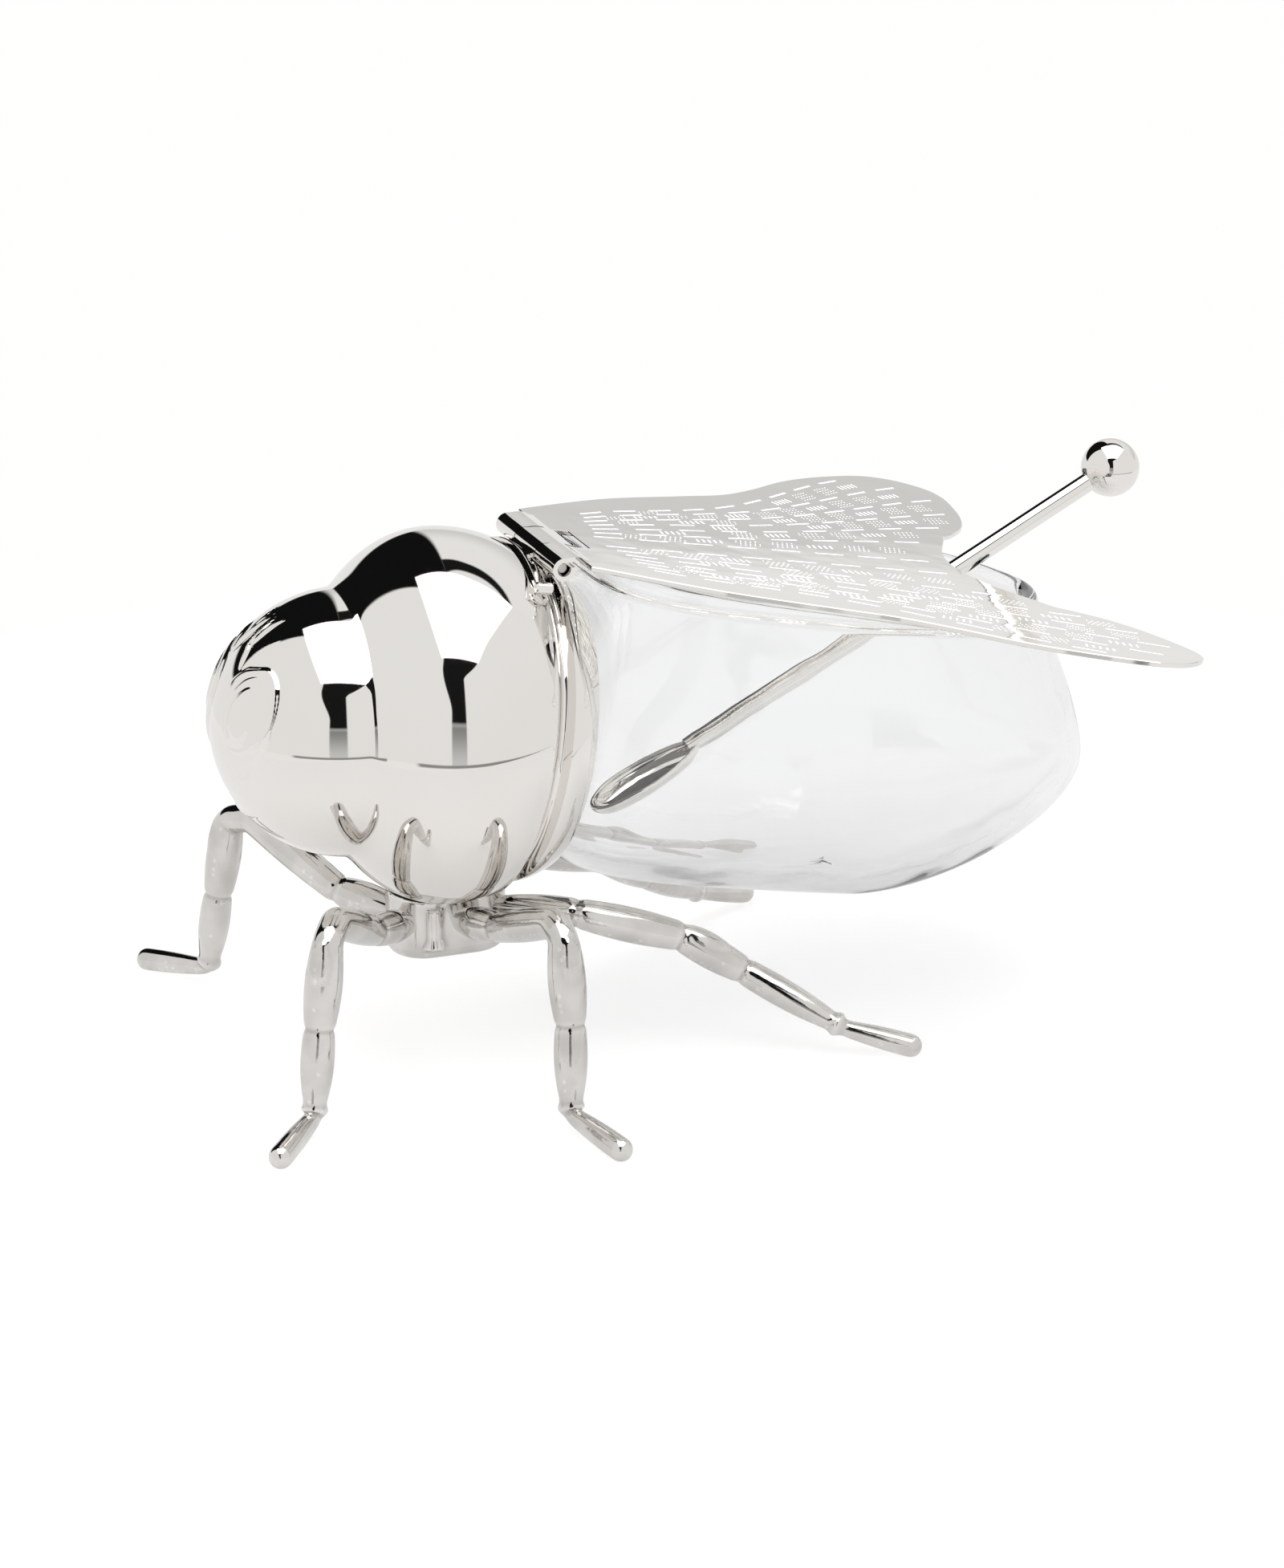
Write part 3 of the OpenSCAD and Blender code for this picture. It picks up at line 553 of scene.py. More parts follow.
# %% Build the shell
AROUND, FRONT_ROWS, BACK_ROWS, INNER_ROWS, RIM_ROWS = 432, 118, 58, 16, 5
RIM_ROUND, FACE_FROM = 0.4, 6.0
angle = np.arange(AROUND) * 2 * math.pi / AROUND
tip_z, fine_z = HEAD_OFF + HEAD_R, HEAD_OFF + FACE_FROM
rear_z = cut_place(angle, SHELL_END - RIM_ROUND, 0)
t = np.linspace(0, 1, BACK_ROWS, endpoint=False)[:, None]
back = rear_z + (fine_z - rear_z) * t
polar = np.linspace(math.acos((fine_z - HEAD_OFF) / HEAD_R), 0, FRONT_ROWS + 1)[:-1]
front = np.broadcast_to((HEAD_OFF + HEAD_R * np.cos(polar))[:, None], (FRONT_ROWS, AROUND))
outer_z = np.vstack([back, front])
outer = shell_points(outer_z, np.broadcast_to(angle, outer_z.shape), 0)
lifted = face_lift(outer.reshape(-1, 3)).reshape(outer.shape[:2])
outward = outer - head
outward /= np.linalg.norm(outward, axis=2, keepdims=True)
outer = outer + lifted[..., None] * outward

edge_out = shell_points(rear_z, angle, 0)
rear_in = cut_place(angle, SHELL_END - RIM_ROUND, SHELL_WALL)
edge_in = shell_points(rear_in, angle, SHELL_WALL)
inward = (edge_in - edge_out) / np.linalg.norm(edge_in - edge_out, axis=1, keepdims=True)
quarter = np.radians(np.linspace(0, 90, RIM_ROWS))
rim_rows = [edge_out + RIM_ROUND * ((1 - math.cos(a)) * inward + math.sin(a) * along) for a in quarter]
rim_rows += [edge_in - RIM_ROUND * ((1 - math.cos(a)) * inward - math.sin(a) * along)
             for a in quarter[::-1]]
t = np.sin(np.linspace(0, 90, INNER_ROWS, endpoint=False)[1:] * math.pi / 180)[:, None]
inner = shell_points(rear_in + (tip_z - SHELL_WALL - rear_in) * t,
                     np.broadcast_to(angle, (INNER_ROWS - 1, AROUND)), SHELL_WALL)
rows = np.concatenate([inner[::-1], np.array(rim_rows[::-1]), outer[1:]])
shell = skin("head_and_thorax", rows, first=thorax + (tip_z - SHELL_WALL) * forward,
             last=thorax + tip_z * forward)
print("face stands", round(float(lifted.max()), 2), "mm proud at most")
dress(shell, "polished_nickel", "root", "head_thorax_shell")

# %% [markdown]
# ## Collar
# A turned ring between the shell and the glass: a shoulder, a round groove and a band that tapers to
# the rear. The real band has two hairlines where it was spun against a roller; this ring leaves them out.

# %% Build the collar
BAND_R, BAND_TAPER, BAND_W = 31.5, 2.8, 6.0
GROOVE_W, GROOVE_D, COLLAR_WALL, SHOULDER_STEP = 4.2, 1.6, 1.2, 1.1
BAND_FRONT = SHELL_END + GROOVE_W
BAND_REAR = BAND_FRONT + BAND_W
SEAT, LAND = 0.2, 0.5
FRONT_ROUND, REAR_ROUND = 0.3, 0.35
GROOVE_STEPS, BAND_STEPS, BAND_POWER = 24, 20, 1.6


def collar_profile():
    """Outline of the collar: a shoulder, a groove, a tapering band and the plain inside."""
    groove = BAND_R - GROOVE_D
    shoulder = float(half_round(np.array(SHELL_END), THORAX_HALF, THORAX_R)) - SHOULDER_STEP
    edge = SHELL_END + SEAT
    out = corner((shoulder - FRONT_ROUND, edge + FRONT_ROUND), FRONT_ROUND, -90, 0)
    for t in np.arange(1, GROOVE_STEPS + 1) / GROOVE_STEPS:
        high = shoulder - groove if t < 0.5 else BAND_R - groove
        out.append((groove + high * (2 * t - 1) ** 2, edge + LAND + (GROOVE_W - SEAT - LAND) * t))
    for t in np.arange(1, BAND_STEPS) / BAND_STEPS:
        out.append((BAND_R - BAND_TAPER * t**BAND_POWER, BAND_FRONT + BAND_W * t))
    tail = BAND_R - BAND_TAPER * 0.99
    out += corner((tail - REAR_ROUND, BAND_REAR - REAR_ROUND), REAR_ROUND, 20, 90)
    back = tail - COLLAR_WALL
    out += [(back, BAND_REAR), (back, BAND_FRONT + LAND), (groove - COLLAR_WALL, BAND_FRONT - COLLAR_WALL),
            (groove - COLLAR_WALL, edge + COLLAR_WALL), (groove - COLLAR_WALL, edge)]
    return out


collar = turned("collar_ring", collar_profile(), thorax, along, across, rise, 216)
sharpen(collar, 30)
dress(collar, "polished_nickel", "root", "rear_collar")

# %% [markdown]
# ## Glass bowl
# The abdomen follows a rule: every level is a superellipse, blunt towards the collar and drawn out
# to the tail, and the levels shrink round the belly. The front leans back on its way up. The formula
# has faint creases where its exponents meet, which glass would show as bent lines, so the outer skin
# is eased before the inner one is laid three millimetres inside it. The lip is a bead round the mouth.

# %% Level curves
GLASS_W, GLASS_D, GLASS_WALL, NOSE_IN = 34.0, 30.9, 3.0, 7.0
GLASS_LEN, GLASS_MID, MOUTH_BACK, BROW_BACK, BROW_H = 118.0, 65.6, 20.8, 8.0, 22.0
FORE_POWER, AFT_POWER, MOUTH_POWER = 4.0, 1.6, 1.4
LIP_R, LID_T, RUN_GAP = 2.2, 1.0, 0.3
NOSE_S = BAND_REAR - NOSE_IN
MID_S = BAND_REAR + GLASS_MID
TAIL_S = BAND_REAR + GLASS_LEN
LID_H = HINGE_H + KNUCKLE_R - KNUCKLE_PROUD - LID_T
RIM_H = LID_H - RUN_GAP
LIP_H = RIM_H - LIP_R


def ease(t):
    """Smooth step from 0 to 1."""
    u = np.clip(t, 0, 1)
    return u * u * (3 - 2 * u)


def over(k, n):
    """What is left of a superellipse's width at a share k of its height."""
    return max(0.0, 1 - k**n) ** (1 / n)


def level(h, count):
    """The bowl's outside at one height, by direction from its widest place."""
    k, low = min(abs(h) / GLASS_D, 1), h < 0
    w = GLASS_W * (over(k, 2) if low else 1)
    back = NOSE_S + (0 if low else BROW_BACK * float(ease(h / BROW_H)))
    fore = (MID_S - back) * (over(k, FORE_POWER) if low else 1)
    aft = TAIL_S - MID_S
    aft = aft * over(k, AFT_POWER) if low else aft - MOUTH_BACK * (h / RIM_H) ** MOUTH_POWER
    a = np.arange(count) * 2 * math.pi / count
    c, s = np.cos(a), np.sin(a)
    reach = np.where(c < 0, fore, aft)
    n = np.where(c < 0, FORE_POWER, AFT_POWER)
    # directions are spread by the ellipse, so that points stay even round the long form
    x, y = reach * c, w * s
    r = (np.abs(x / reach) ** n + np.abs(y / w) ** n) ** (-1 / n)
    return np.stack([MID_S + x * r, y * r, np.full(count, float(h))], 1)


def sole(ring, count):
    """Rows inside the lowest level, shrunk towards the deepest place, each at the formula's depth."""
    rows = []
    for share in np.arange(1, count) / count:
        x, y = share * (ring[:, 0] - MID_S), share * ring[:, 1]
        n = np.where(x < 0, FORE_POWER, AFT_POWER)
        m = np.where(x < 0, MID_S - NOSE_S, TAIL_S - MID_S)
        low, high = np.full(len(x), 0.5), np.ones(len(x))
        for _ in range(HALVINGS):
            k = (low + high) / 2
            shrink = np.clip(1 - k**n, 1e-12, None) ** (1 / n)
            w = GLASS_W * np.sqrt(1 - k**2)
            out = (np.abs(x) / (m * shrink)) ** n + (np.abs(y) / w) ** n > 1
            low, high = np.where(out, low, k), np.where(out, k, high)
        rows.append(np.stack([MID_S + x, y, -GLASS_D * k], 1))
    return rows


# %% Build the bowl
ROUND_GLASS, LOW_ROWS, SOLE_ROWS, HIGH_ROWS = 200, 56, 9, 36
EASE_PASSES, FLAT_ROWS = 14, 14
LIP_FROM, LIP_TO, LIP_ROWS = -38, 218, 19
UP = np.array([0, 0, 1.0])
lean_in = [-GLASS_D * math.cos(math.radians(90 * i / LOW_ROWS)) for i in range(SOLE_ROWS, LOW_ROWS)]
climb = [LIP_H * i / HIGH_ROWS for i in range(HIGH_ROWS + 1)]
levels = [level(h, ROUND_GLASS) for h in lean_in + climb]
outside = np.array(sole(levels[0], SOLE_ROWS) + levels)


def eased(grid, passes):
    """Grid of rows averaged with its neighbours, round the pole too. The top row is kept."""
    half = grid.shape[1] // 2
    for _ in range(passes):
        wide = (np.roll(grid, 1, 1) + np.roll(grid, -1, 1)) / 4 + grid / 2
        past_pole = np.roll(wide[:1], half, 1)
        tall = np.concatenate([past_pole, wide, wide[-1:]])
        next_grid = tall[:-2] / 4 + tall[1:-1] / 2 + tall[2:] / 4
        grid = np.concatenate([next_grid[:-1], wide[-1:]])
    return grid


def normals_of(grid):
    """Outward directions of a closed grid of rows."""
    around = np.roll(grid, -1, 1) - np.roll(grid, 1, 1)
    rowwise = np.gradient(grid, axis=0)
    n = np.cross(around, rowwise)
    return n / np.linalg.norm(n, axis=2, keepdims=True)


outside = eased(outside, EASE_PASSES)
out_dir = normals_of(outside)
flat = out_dir[-1] * (1, 1, 0)
flat /= np.linalg.norm(flat, axis=1, keepdims=True)
fade = ease(np.linspace(0, 1, HIGH_ROWS))[:, None, None]
out_dir[-HIGH_ROWS:] = out_dir[-HIGH_ROWS:] * (1 - fade) + flat * fade
out_dir /= np.linalg.norm(out_dir, axis=2, keepdims=True)
# the sole is nearly flat and its rows lie close, so its directions fade to straight down
near_sole = ease(np.linspace(1, 0, FLAT_ROWS))[:, None, None]
out_dir[:FLAT_ROWS] = out_dir[:FLAT_ROWS] * (1 - near_sole) - UP * near_sole
out_dir /= np.linalg.norm(out_dir, axis=2, keepdims=True)
inside = outside - GLASS_WALL * out_dir
lip_middle = outside[-1] - GLASS_WALL / 2 * flat
lip = np.array([lip_middle + LIP_R * (math.cos(a) * flat + math.sin(a) * UP)
                for a in np.radians(np.linspace(LIP_FROM, LIP_TO, LIP_ROWS))])
body_rows = np.concatenate([outside[:-2], lip, inside[:-2][::-1]])
rows = on_body(body_rows[..., 0], body_rows[..., 1], body_rows[..., 2])


def lowest(grid):
    """Lowest point under a grid's first two rows, as a round floor would have it."""
    near, far = grid[0].mean(0), grid[1].mean(0)
    return on_body(near[0], 0, (4 * near[2] - far[2]) / 3)


bowl = skin("glass_bowl_blown", rows, first=lowest(outside), last=lowest(inside))
dress(bowl, "clear_glass", "root", "glass_bowl")

# %% [markdown]
# ## Wing lid
# A flat sheet one millimetre thick, cut to the outline of two wings and bent across a little. Its
# pattern of veins is pierced through: dashes along the veins, and blocks of dots and of short bars
# between them. Drawing each hole by hand would be dull, so a Geometry Nodes tree stamps punches
# on a list of points, and one boolean with the punches cuts the sheet. The layout is a plain one
# of veins that fan out from the hinge.

# %% Lid outline
LID_LEN, WING_Y, LID_FRONT, LID_BEND = 113.6, 70.5, 21.5, 1150.0
NOTCH_AT, CORNER_AT, WINDOW_AT = 90.7, 3.6, 8.6
HINGE_LEN, LEAF_KNUCKLE, PIN_RECESS = 34.2, 11.8, 1.2
KNUCKLE_IN = LEAF_KNUCKLE / 2 + RUN_GAP
WING_SHAPE = [(0.226, 0.489), (0.405, 0.596), (0.5, 0.65), (0.58, 0.737), (0.66, 0.844), (0.73, 0.915),
              (0.81, 0.972), (0.88, 1), (0.94, 0.979), (0.985, 0.915), (1, 0.845), (0.998, 0.76),
              (0.98, 0.62), (0.948, 0.5), (0.904, 0.415), (0.876, 0.375), (0.86, 0.32)]
wing = [(CORNER_AT, LID_FRONT)] + [(LID_LEN * a, WING_Y * b) for a, b in WING_SHAPE]
wing += [(NOTCH_AT + 2.6, 13.5), (NOTCH_AT + 0.4, 6), (NOTCH_AT, 0)]
half_outline = through(wing, 8)
window_y = KNUCKLE_IN + RUN_GAP
front_edge = [(WINDOW_AT, 0), (WINDOW_AT, window_y), (CORNER_AT, window_y)]
right_side = np.vstack([front_edge, half_outline[:-1]])
outline = np.vstack([right_side[1:], [[NOTCH_AT, 0]], (right_side * (1, -1))[::-1][:-1]])
print("lid outline points:", len(outline))


# %% [markdown]
# ### Where the punches go
# Seven veins start behind the hinge and spread to the wing's rear edge. A dash every few
# millimetres follows each vein. In the strip between two veins stand blocks that take turns: rows of
# dots twice, then a set of bars. A block that would touch a dash or the edge is left out.

# %% Punch layout
VEIN_COUNT, VEIN_BOW = 7, 1.15
VEIN_ENDS = np.array([(0.757, 0.064), (0.8, 0.284), (0.893, 0.475), (0.951, 0.638), (0.964, 0.787),
                      (0.915, 0.894), (0.8, 0.919)]) * (LID_LEN, WING_Y)
DASH, DASH_GAP, DASH_W = 6.2, 3.2, 0.6
DOT, DOT_PITCH, BAR, BAR_PITCH, BAR_W = 0.38, 1.1, 2.1, 1.3, 0.36
EDGE_CLEAR, PUNCH_CLEAR, SAMPLE_STEP = 1.8, 0.75, 0.5
ROOT_BACK, ROOT_STEP = 4.4, 0.5             # where the veins start behind the window
ROOT_OUT, ROOT_SPREAD = 0.167, 0.133        # and beside it, as shares of the front's half width
BLOCK_FIRST, BLOCK_SHIFT, BLOCK_PITCH = 9.0, 2.1, 8.4
SIDE_ROOM, LEAST_ROOM, BAR_SHARE, BAR_LEAN = 1.7, 1.2, 0.8, 0.2


def vein(k, t):
    """Places on vein k at shares t of its run; k may lie between two veins."""
    t = np.asarray(t, float)[..., None]
    start = np.array([WINDOW_AT + ROOT_BACK + ROOT_STEP * k, LID_FRONT * (ROOT_OUT + ROOT_SPREAD * k)])
    low, high = VEIN_ENDS[int(k)], VEIN_ENDS[min(int(k) + 1, VEIN_COUNT - 1)]
    end = low + (high - low) * (k - int(k))
    return start + (end - start) * t - np.array([0, VEIN_BOW * k]) * np.sin(math.pi * t) ** 2


def samples(x, y, turn, long):
    """Points along a punch, to measure how near others come."""
    off = np.linspace(-long / 2, long / 2, max(2, math.ceil(long / SAMPLE_STEP)))[:, None]
    return np.array([x, y]) + off * np.array([math.cos(turn), math.sin(turn)])


dashes, blocks = [], []          # each punch is (x, y, turn, length, width)
for k in range(VEIN_COUNT):
    run = np.linalg.norm(vein(k, 1) - vein(k, 0))
    count = int((run + DASH_GAP) / (DASH + DASH_GAP))
    for i in range(count):
        tail_t = 1 - (count - 1 - i) * (run + DASH_GAP) / count / run
        tail, nose = vein(k, tail_t), vein(k, tail_t - DASH / run)
        way = nose - tail
        dashes.append((*(tail + nose) / 2, math.atan2(way[1], way[0]), np.linalg.norm(way), DASH_W))
for k in range(VEIN_COUNT - 1):
    run = np.linalg.norm(vein(k + 0.5, 1) - vein(k + 0.5, 0))
    for i, d in enumerate(np.arange(BLOCK_FIRST + BLOCK_SHIFT * (k % 2), run, BLOCK_PITCH)):
        here, ahead = vein(k + 0.5, d / run), vein(k + 0.5, (d + 0.5) / run)
        turn = math.atan2(*(ahead - here)[::-1])
        along_x = np.array([math.cos(turn), math.sin(turn)])
        along_y = np.array([-math.sin(turn), math.cos(turn)])
        room = np.linalg.norm(vein(k + 1, d / run) - vein(k, d / run)) - SIDE_ROOM
        block = []
        if (i + k) % 3 == 2:
            for j in range(-2, 3):
                bar_at = here + j * BAR_PITCH * along_x
                block.append((*bar_at, turn + math.pi / 2 - BAR_LEAN, min(BAR, BAR_SHARE * room), BAR_W))
        else:
            lines = min(4, 1 + int(room / DOT_PITCH))
            for j in range(5):
                for row in range(lines):
                    off = (j - 2 + 0.5 * (row % 2)) * along_x + (row - (lines - 1) / 2) * along_y
                    block.append((*(here + DOT_PITCH * off), turn, DOT, DOT))
        blocks += [block] if room > LEAST_ROOM else []

edge_points = spread(half_outline, SAMPLE_STEP)
wing_ring = np.vstack([half_outline, [[0, 0], [0, LID_FRONT]]])
kept = np.vstack([samples(*dash[:4]) for dash in dashes])
punches = list(dashes)
for block in blocks:
    at = np.vstack([samples(*punch[:4]) for punch in block])
    near = np.linalg.norm(at[:, None] - kept[None], axis=2).min()
    edge = np.linalg.norm(at[:, None] - edge_points[None], axis=2).min()
    if near > PUNCH_CLEAR and edge > EDGE_CLEAR and inside_of(*wing_ring.T, *block[0][:2]):
        punches += block
        kept = np.vstack([kept, at])
punches = np.array(punches)
print("punches on each wing:", len(punches), "of them dashes:", len(dashes))


# %% [markdown]
# ### The punch tree
# The tree takes a cloud of points. Each point carries how its punch is turned, how long and how wide
# it is. A long punch is a block and a short one a post with eight sides, because there are over a
# thousand of them. It is scaled, set on its point and made real; the sheet is cut by all of them.

# %% Punch tree
def start_tree(name, value_name, value_kind):
    """A geometry tree with named inputs: the geometry, one value and the material."""
    tree = bpy.data.node_groups.new(name, "GeometryNodeTree")
    face = tree.interface
    for title, kind in (("Geometry", "Geometry"), (value_name, value_kind), ("Material", "Material")):
        face.new_socket(title, in_out="INPUT", socket_type="NodeSocket" + kind)
    face.new_socket("Geometry", in_out="OUTPUT", socket_type="NodeSocketGeometry")
    return tree, node(tree, "NodeGroupInput").outputs


def end_tree(tree, geometry, finish):
    """Makes the geometry real, sets its material and gives it out."""
    real = node(tree, "GeometryNodeRealizeInstances", {"Geometry": geometry}).outputs[0]
    dressed = node(tree, "GeometryNodeSetMaterial", {"Geometry": real, "Material": finish})
    node(tree, "NodeGroupOutput", {"Geometry": dressed.outputs[0]})
    return tree


def punch_tree():
    """Stamps a block or a post on each point."""
    tree, into = start_tree("stamp_punches", "Depth", "Float")
    dot = node(tree, "GeometryNodeMeshCylinder",
               {"Vertices": 8, "Radius": 0.5, "Depth": into["Depth"]}).outputs["Mesh"]
    size = node(tree, "ShaderNodeCombineXYZ", {"X": 1.0, "Y": 1.0, "Z": into["Depth"]}).outputs[0]
    slot = node(tree, "GeometryNodeMeshCube", {"Size": size}).outputs["Mesh"]
    long, wide, turn = (node(tree, "GeometryNodeInputNamedAttribute", {"Name": name},
                             data_type="FLOAT").outputs[0] for name in ("long", "wide", "turn"))
    scale = node(tree, "ShaderNodeCombineXYZ", {"X": long, "Y": wide, "Z": 1.0}).outputs[0]
    rotation = node(tree, "ShaderNodeCombineXYZ", {"Z": turn}).outputs[0]
    is_slot = node(tree, "FunctionNodeCompare", {0: maths(tree, "DIVIDE", long, wide), 1: 1.5},
                   data_type="FLOAT", operation="GREATER_THAN").outputs[0]
    is_dot = node(tree, "FunctionNodeBooleanMath", {0: is_slot}, operation="NOT").outputs[0]
    join = node(tree, "GeometryNodeJoinGeometry")
    for chosen, punch in ((is_slot, slot), (is_dot, dot)):
        stamped = node(tree, "GeometryNodeInstanceOnPoints",
                       {"Points": into["Geometry"], "Selection": chosen, "Instance": punch,
                        "Rotation": rotation, "Scale": scale}).outputs[0]
        tree.links.new(stamped, join.inputs[0])
    return end_tree(tree, join.outputs[0], into["Material"])


def set_inputs(modifier, **values):
    """Sets a tree's inputs by their sockets' identifiers."""
    for item in modifier.node_group.interface.items_tree:
        if item.in_out == "INPUT" and item.name in values:
            modifier[item.identifier] = values[item.name]


SHEET_Z = LID_H - HINGE_H
PUNCH_DEPTH = 8 * LID_T
both = np.vstack([punches, punches * (1, -1, -1, 1, 1)])
cloud = piece("punch_points", [(x, y, SHEET_Z + LID_T / 2) for x, y in both[:, :2]])
for name, column in (("turn", both[:, 2]), ("long", both[:, 3] * MM), ("wide", both[:, 4] * MM)):
    cloud.data.attributes.new(name, "FLOAT", "POINT").data.foreach_set("value", column.astype(float))
stamp = cloud.modifiers.new("stamp", "NODES")
stamp.node_group = punch_tree()
set_inputs(stamp, Depth=PUNCH_DEPTH * MM, Material=etched_nickel_painted_glow)
finished(cloud)
print("punch faces:", len(cloud.data.polygons))

# %% [markdown]
# ### Sheet and knuckles
# The sheet is built flat, with its edges broken by a small chamfer, then pierced. Its two knuckles
# are the same sheet rolled round the pin: the strip climbs from the lid, runs over the pin and curls
# under it. All of it is drawn with the hinge's axis as the origin: x to the rear, z up.

# %% Sheet helpers
CHAMFER = 0.15


def inset_outline(points, by):
    """Closed outline moved inwards."""
    ahead = np.roll(points, -1, 0) - points
    ahead /= np.linalg.norm(ahead, axis=1, keepdims=True)
    mean = ahead + np.roll(ahead, 1, 0)
    mean /= np.linalg.norm(mean, axis=1, keepdims=True)
    area = np.sum(points[:, 0] * np.roll(points[:, 1], -1) - points[:, 1] * np.roll(points[:, 0], -1))
    side = np.stack([-mean[:, 1], mean[:, 0]], 1) * (1 if area > 0 else -1)
    return points + by * side


def prism(name, rings):
    """Closed solid over rings of (outline, height), with flat ends."""
    n = len(rings[0][0])
    points = [(x, y, h) for ring, h in rings for x, y in ring]
    faces = [tuple(range(n))[::-1], tuple(range((len(rings) - 1) * n, len(rings) * n))]
    for j in range(len(rings) - 1):
        a, b = j * n, (j + 1) * n
        faces += [(a + i, a + (i + 1) % n, b + (i + 1) % n, b + i) for i in range(n)]
    return face_outwards(piece(name, points, faces, smooth=False))


def strip(name, path, y_from, y_to, thick):
    """Closed strip of sheet bent along a path of (x, z) places, as wide as y_from to y_to."""
    ahead = np.gradient(path, axis=0)
    ahead /= np.linalg.norm(ahead, axis=1, keepdims=True)
    side = np.stack([-ahead[:, 1], ahead[:, 0]], 1) * thick / 2
    ring = np.vstack([path + side, (path - side)[::-1]])
    n = len(ring)
    points = [(x, y, z) for y in (y_from, y_to) for x, z in ring]
    faces = [tuple(range(n)), tuple(range(n, 2 * n))[::-1]]
    faces += [(i, i + n, (i + 1) % n + n, (i + 1) % n) for i in range(n)]
    return face_outwards(piece(name, points, faces))


def cut_or_join(made, other, operation):
    """Boolean of two closed meshes, of the same finish unless the other has its own. It uses it up."""
    if not other.data.materials:
        other.data.materials.append(made.data.materials[0])
    change = made.modifiers.new("change", "BOOLEAN")
    change.solver, change.operation, change.object = "MANIFOLD", operation, other
    change.material_mode = "TRANSFER"
    split = made.modifiers.new("split", "TRIANGULATE")
    split.ngon_method = "CLIP"
    finished(made)
    bpy.data.objects.remove(other)
    return made


# %% Build the sheet and its knuckles
small = inset_outline(outline, CHAMFER)
sheet = prism("wing_sheet", [(small, SHEET_Z), (outline, SHEET_Z + CHAMFER),
                             (outline, SHEET_Z + LID_T - CHAMFER), (small, SHEET_Z + LID_T)])
sheet.data.materials.append(sheet_nickel)
cut_or_join(sheet, cloud, "DIFFERENCE")
print("pierced sheet faces:", len(sheet.data.polygons))

CURL_T = 0.9
curl_r = KNUCKLE_R - CURL_T / 2
a = np.radians(np.linspace(20, -270, 48))
curl = np.stack([curl_r * np.cos(a), curl_r * np.sin(a)], 1)
lid_curl = np.vstack([curl, through([(0, curl_r), (1.4, curl_r + 0.3), (2.8, curl_r + 0.35),
                                     (4.0, SHEET_Z + 0.75), (5.4, SHEET_Z + LID_T / 2)], 6)[1:]])
for side in (1, -1):
    ends = sorted((side * KNUCKLE_IN, side * HINGE_LEN / 2))
    cut_or_join(sheet, strip("knuckle", lid_curl, *ends, CURL_T), "UNION")

# %% [markdown]
# ### Bending a mirror
# The bent sheet has long thin faces between its bend lines, and a mirror would show each as a facet.
# The true surface is known, so its own normals are written onto the flat faces after the bend.

# %% Bend the lid and set it on the body
BEND_LINE, BEND_REACH, FLAT_FRONT, BEND_IN = 5.0, 65, 1.0, 5.0
work = bmesh.new()
work.from_mesh(sheet.data)
for y in np.arange(-BEND_REACH, BEND_REACH + 1, BEND_LINE):
    every = list(work.verts) + list(work.edges) + list(work.faces)
    bmesh.ops.bisect_plane(work, geom=every, plane_co=(0, y * MM, 0), plane_no=(0, 1, 0))
work.to_mesh(sheet.data)
work.free()


def read(collection, key, width):
    """One attribute of a mesh's elements as an array."""
    values = np.empty(len(collection) * width)
    collection.foreach_get(key, values)
    return values.reshape(-1, width)


def set_on_hinge(made):
    """Moves a mesh drawn round the hinge's axis to its place on the body."""
    local = read(made.data.vertices, "co", 3) / MM
    placed = on_body(HINGE_S + local[:, 0], local[:, 1], HINGE_H + local[:, 2])
    made.data.vertices.foreach_set("co", (placed * MM).ravel())
    made.data.update()
    return made


lid_mesh = sheet.data
local = read(lid_mesh.vertices, "co", 3) / MM
up = read(lid_mesh.polygons, "normal", 3)[:, 2]
level_z = read(lid_mesh.polygons, "center", 3)[:, 2] / MM
on_side = np.minimum(np.abs(level_z - SHEET_Z), np.abs(level_z - SHEET_Z - LID_T)) < 0.01
is_flat = (np.abs(up) > 0.999) & on_side
bent = local.copy()
bent[:, 2] += local[:, 1] ** 2 / (2 * LID_BEND) * ease((local[:, 0] - FLAT_FRONT) / BEND_IN)
lid_mesh.vertices.foreach_set("co", (bent * MM).ravel())
sharpen(sheet)
set_on_hinge(sheet)
corners = read(lid_mesh.corner_normals, "vector", 3)
sides = read(lid_mesh.polygons, "loop_total", 1).astype(int).ravel()
of_face = np.repeat(np.arange(len(sides)), sides)
y_at = local[read(lid_mesh.loops, "vertex_index", 1).astype(int).ravel(), 1]
true = rise - (y_at / LID_BEND)[:, None] * across
true *= np.sign(up[of_face])[:, None] / np.linalg.norm(true, axis=1, keepdims=True)
corners = np.where(is_flat[of_face][:, None], true, corners)
lid_mesh.polygons.foreach_set("use_smooth", [True] * len(lid_mesh.polygons))
lid_mesh.normals_split_custom_set(corners.tolist())
dress(sheet, "polished_nickel", "lid", "wing_lid")

# %% [markdown]
# ## Hinge leaf and pin
# The leaf is a narrow strap soldered along the rear edge of the shell, with a rolled tab at each
# end. Its knuckle stands between the lid's two, and ends in a short flap over the lid's window.

# %% Build the leaf
STRAP_ANGLE, STRAP_W, STRAP_T = 29.0, 2.7, 0.9
FOOT_IN, FOOT_T = 0.2, 0.8
TAB_R, TAB_HALF, TAB_EDGE, TAB_TURN = 1.15, 1.7, 0.3, 0.6
STRAP_EDGE = [(0, 0.05), (0, 0.6), (0.12, 0.82), (0.35, STRAP_T)]      # in from the edge, and up
STRAP_IN = 0.1
strap_s = [SHELL_END - STRAP_IN - STRAP_W, SHELL_END - STRAP_IN]


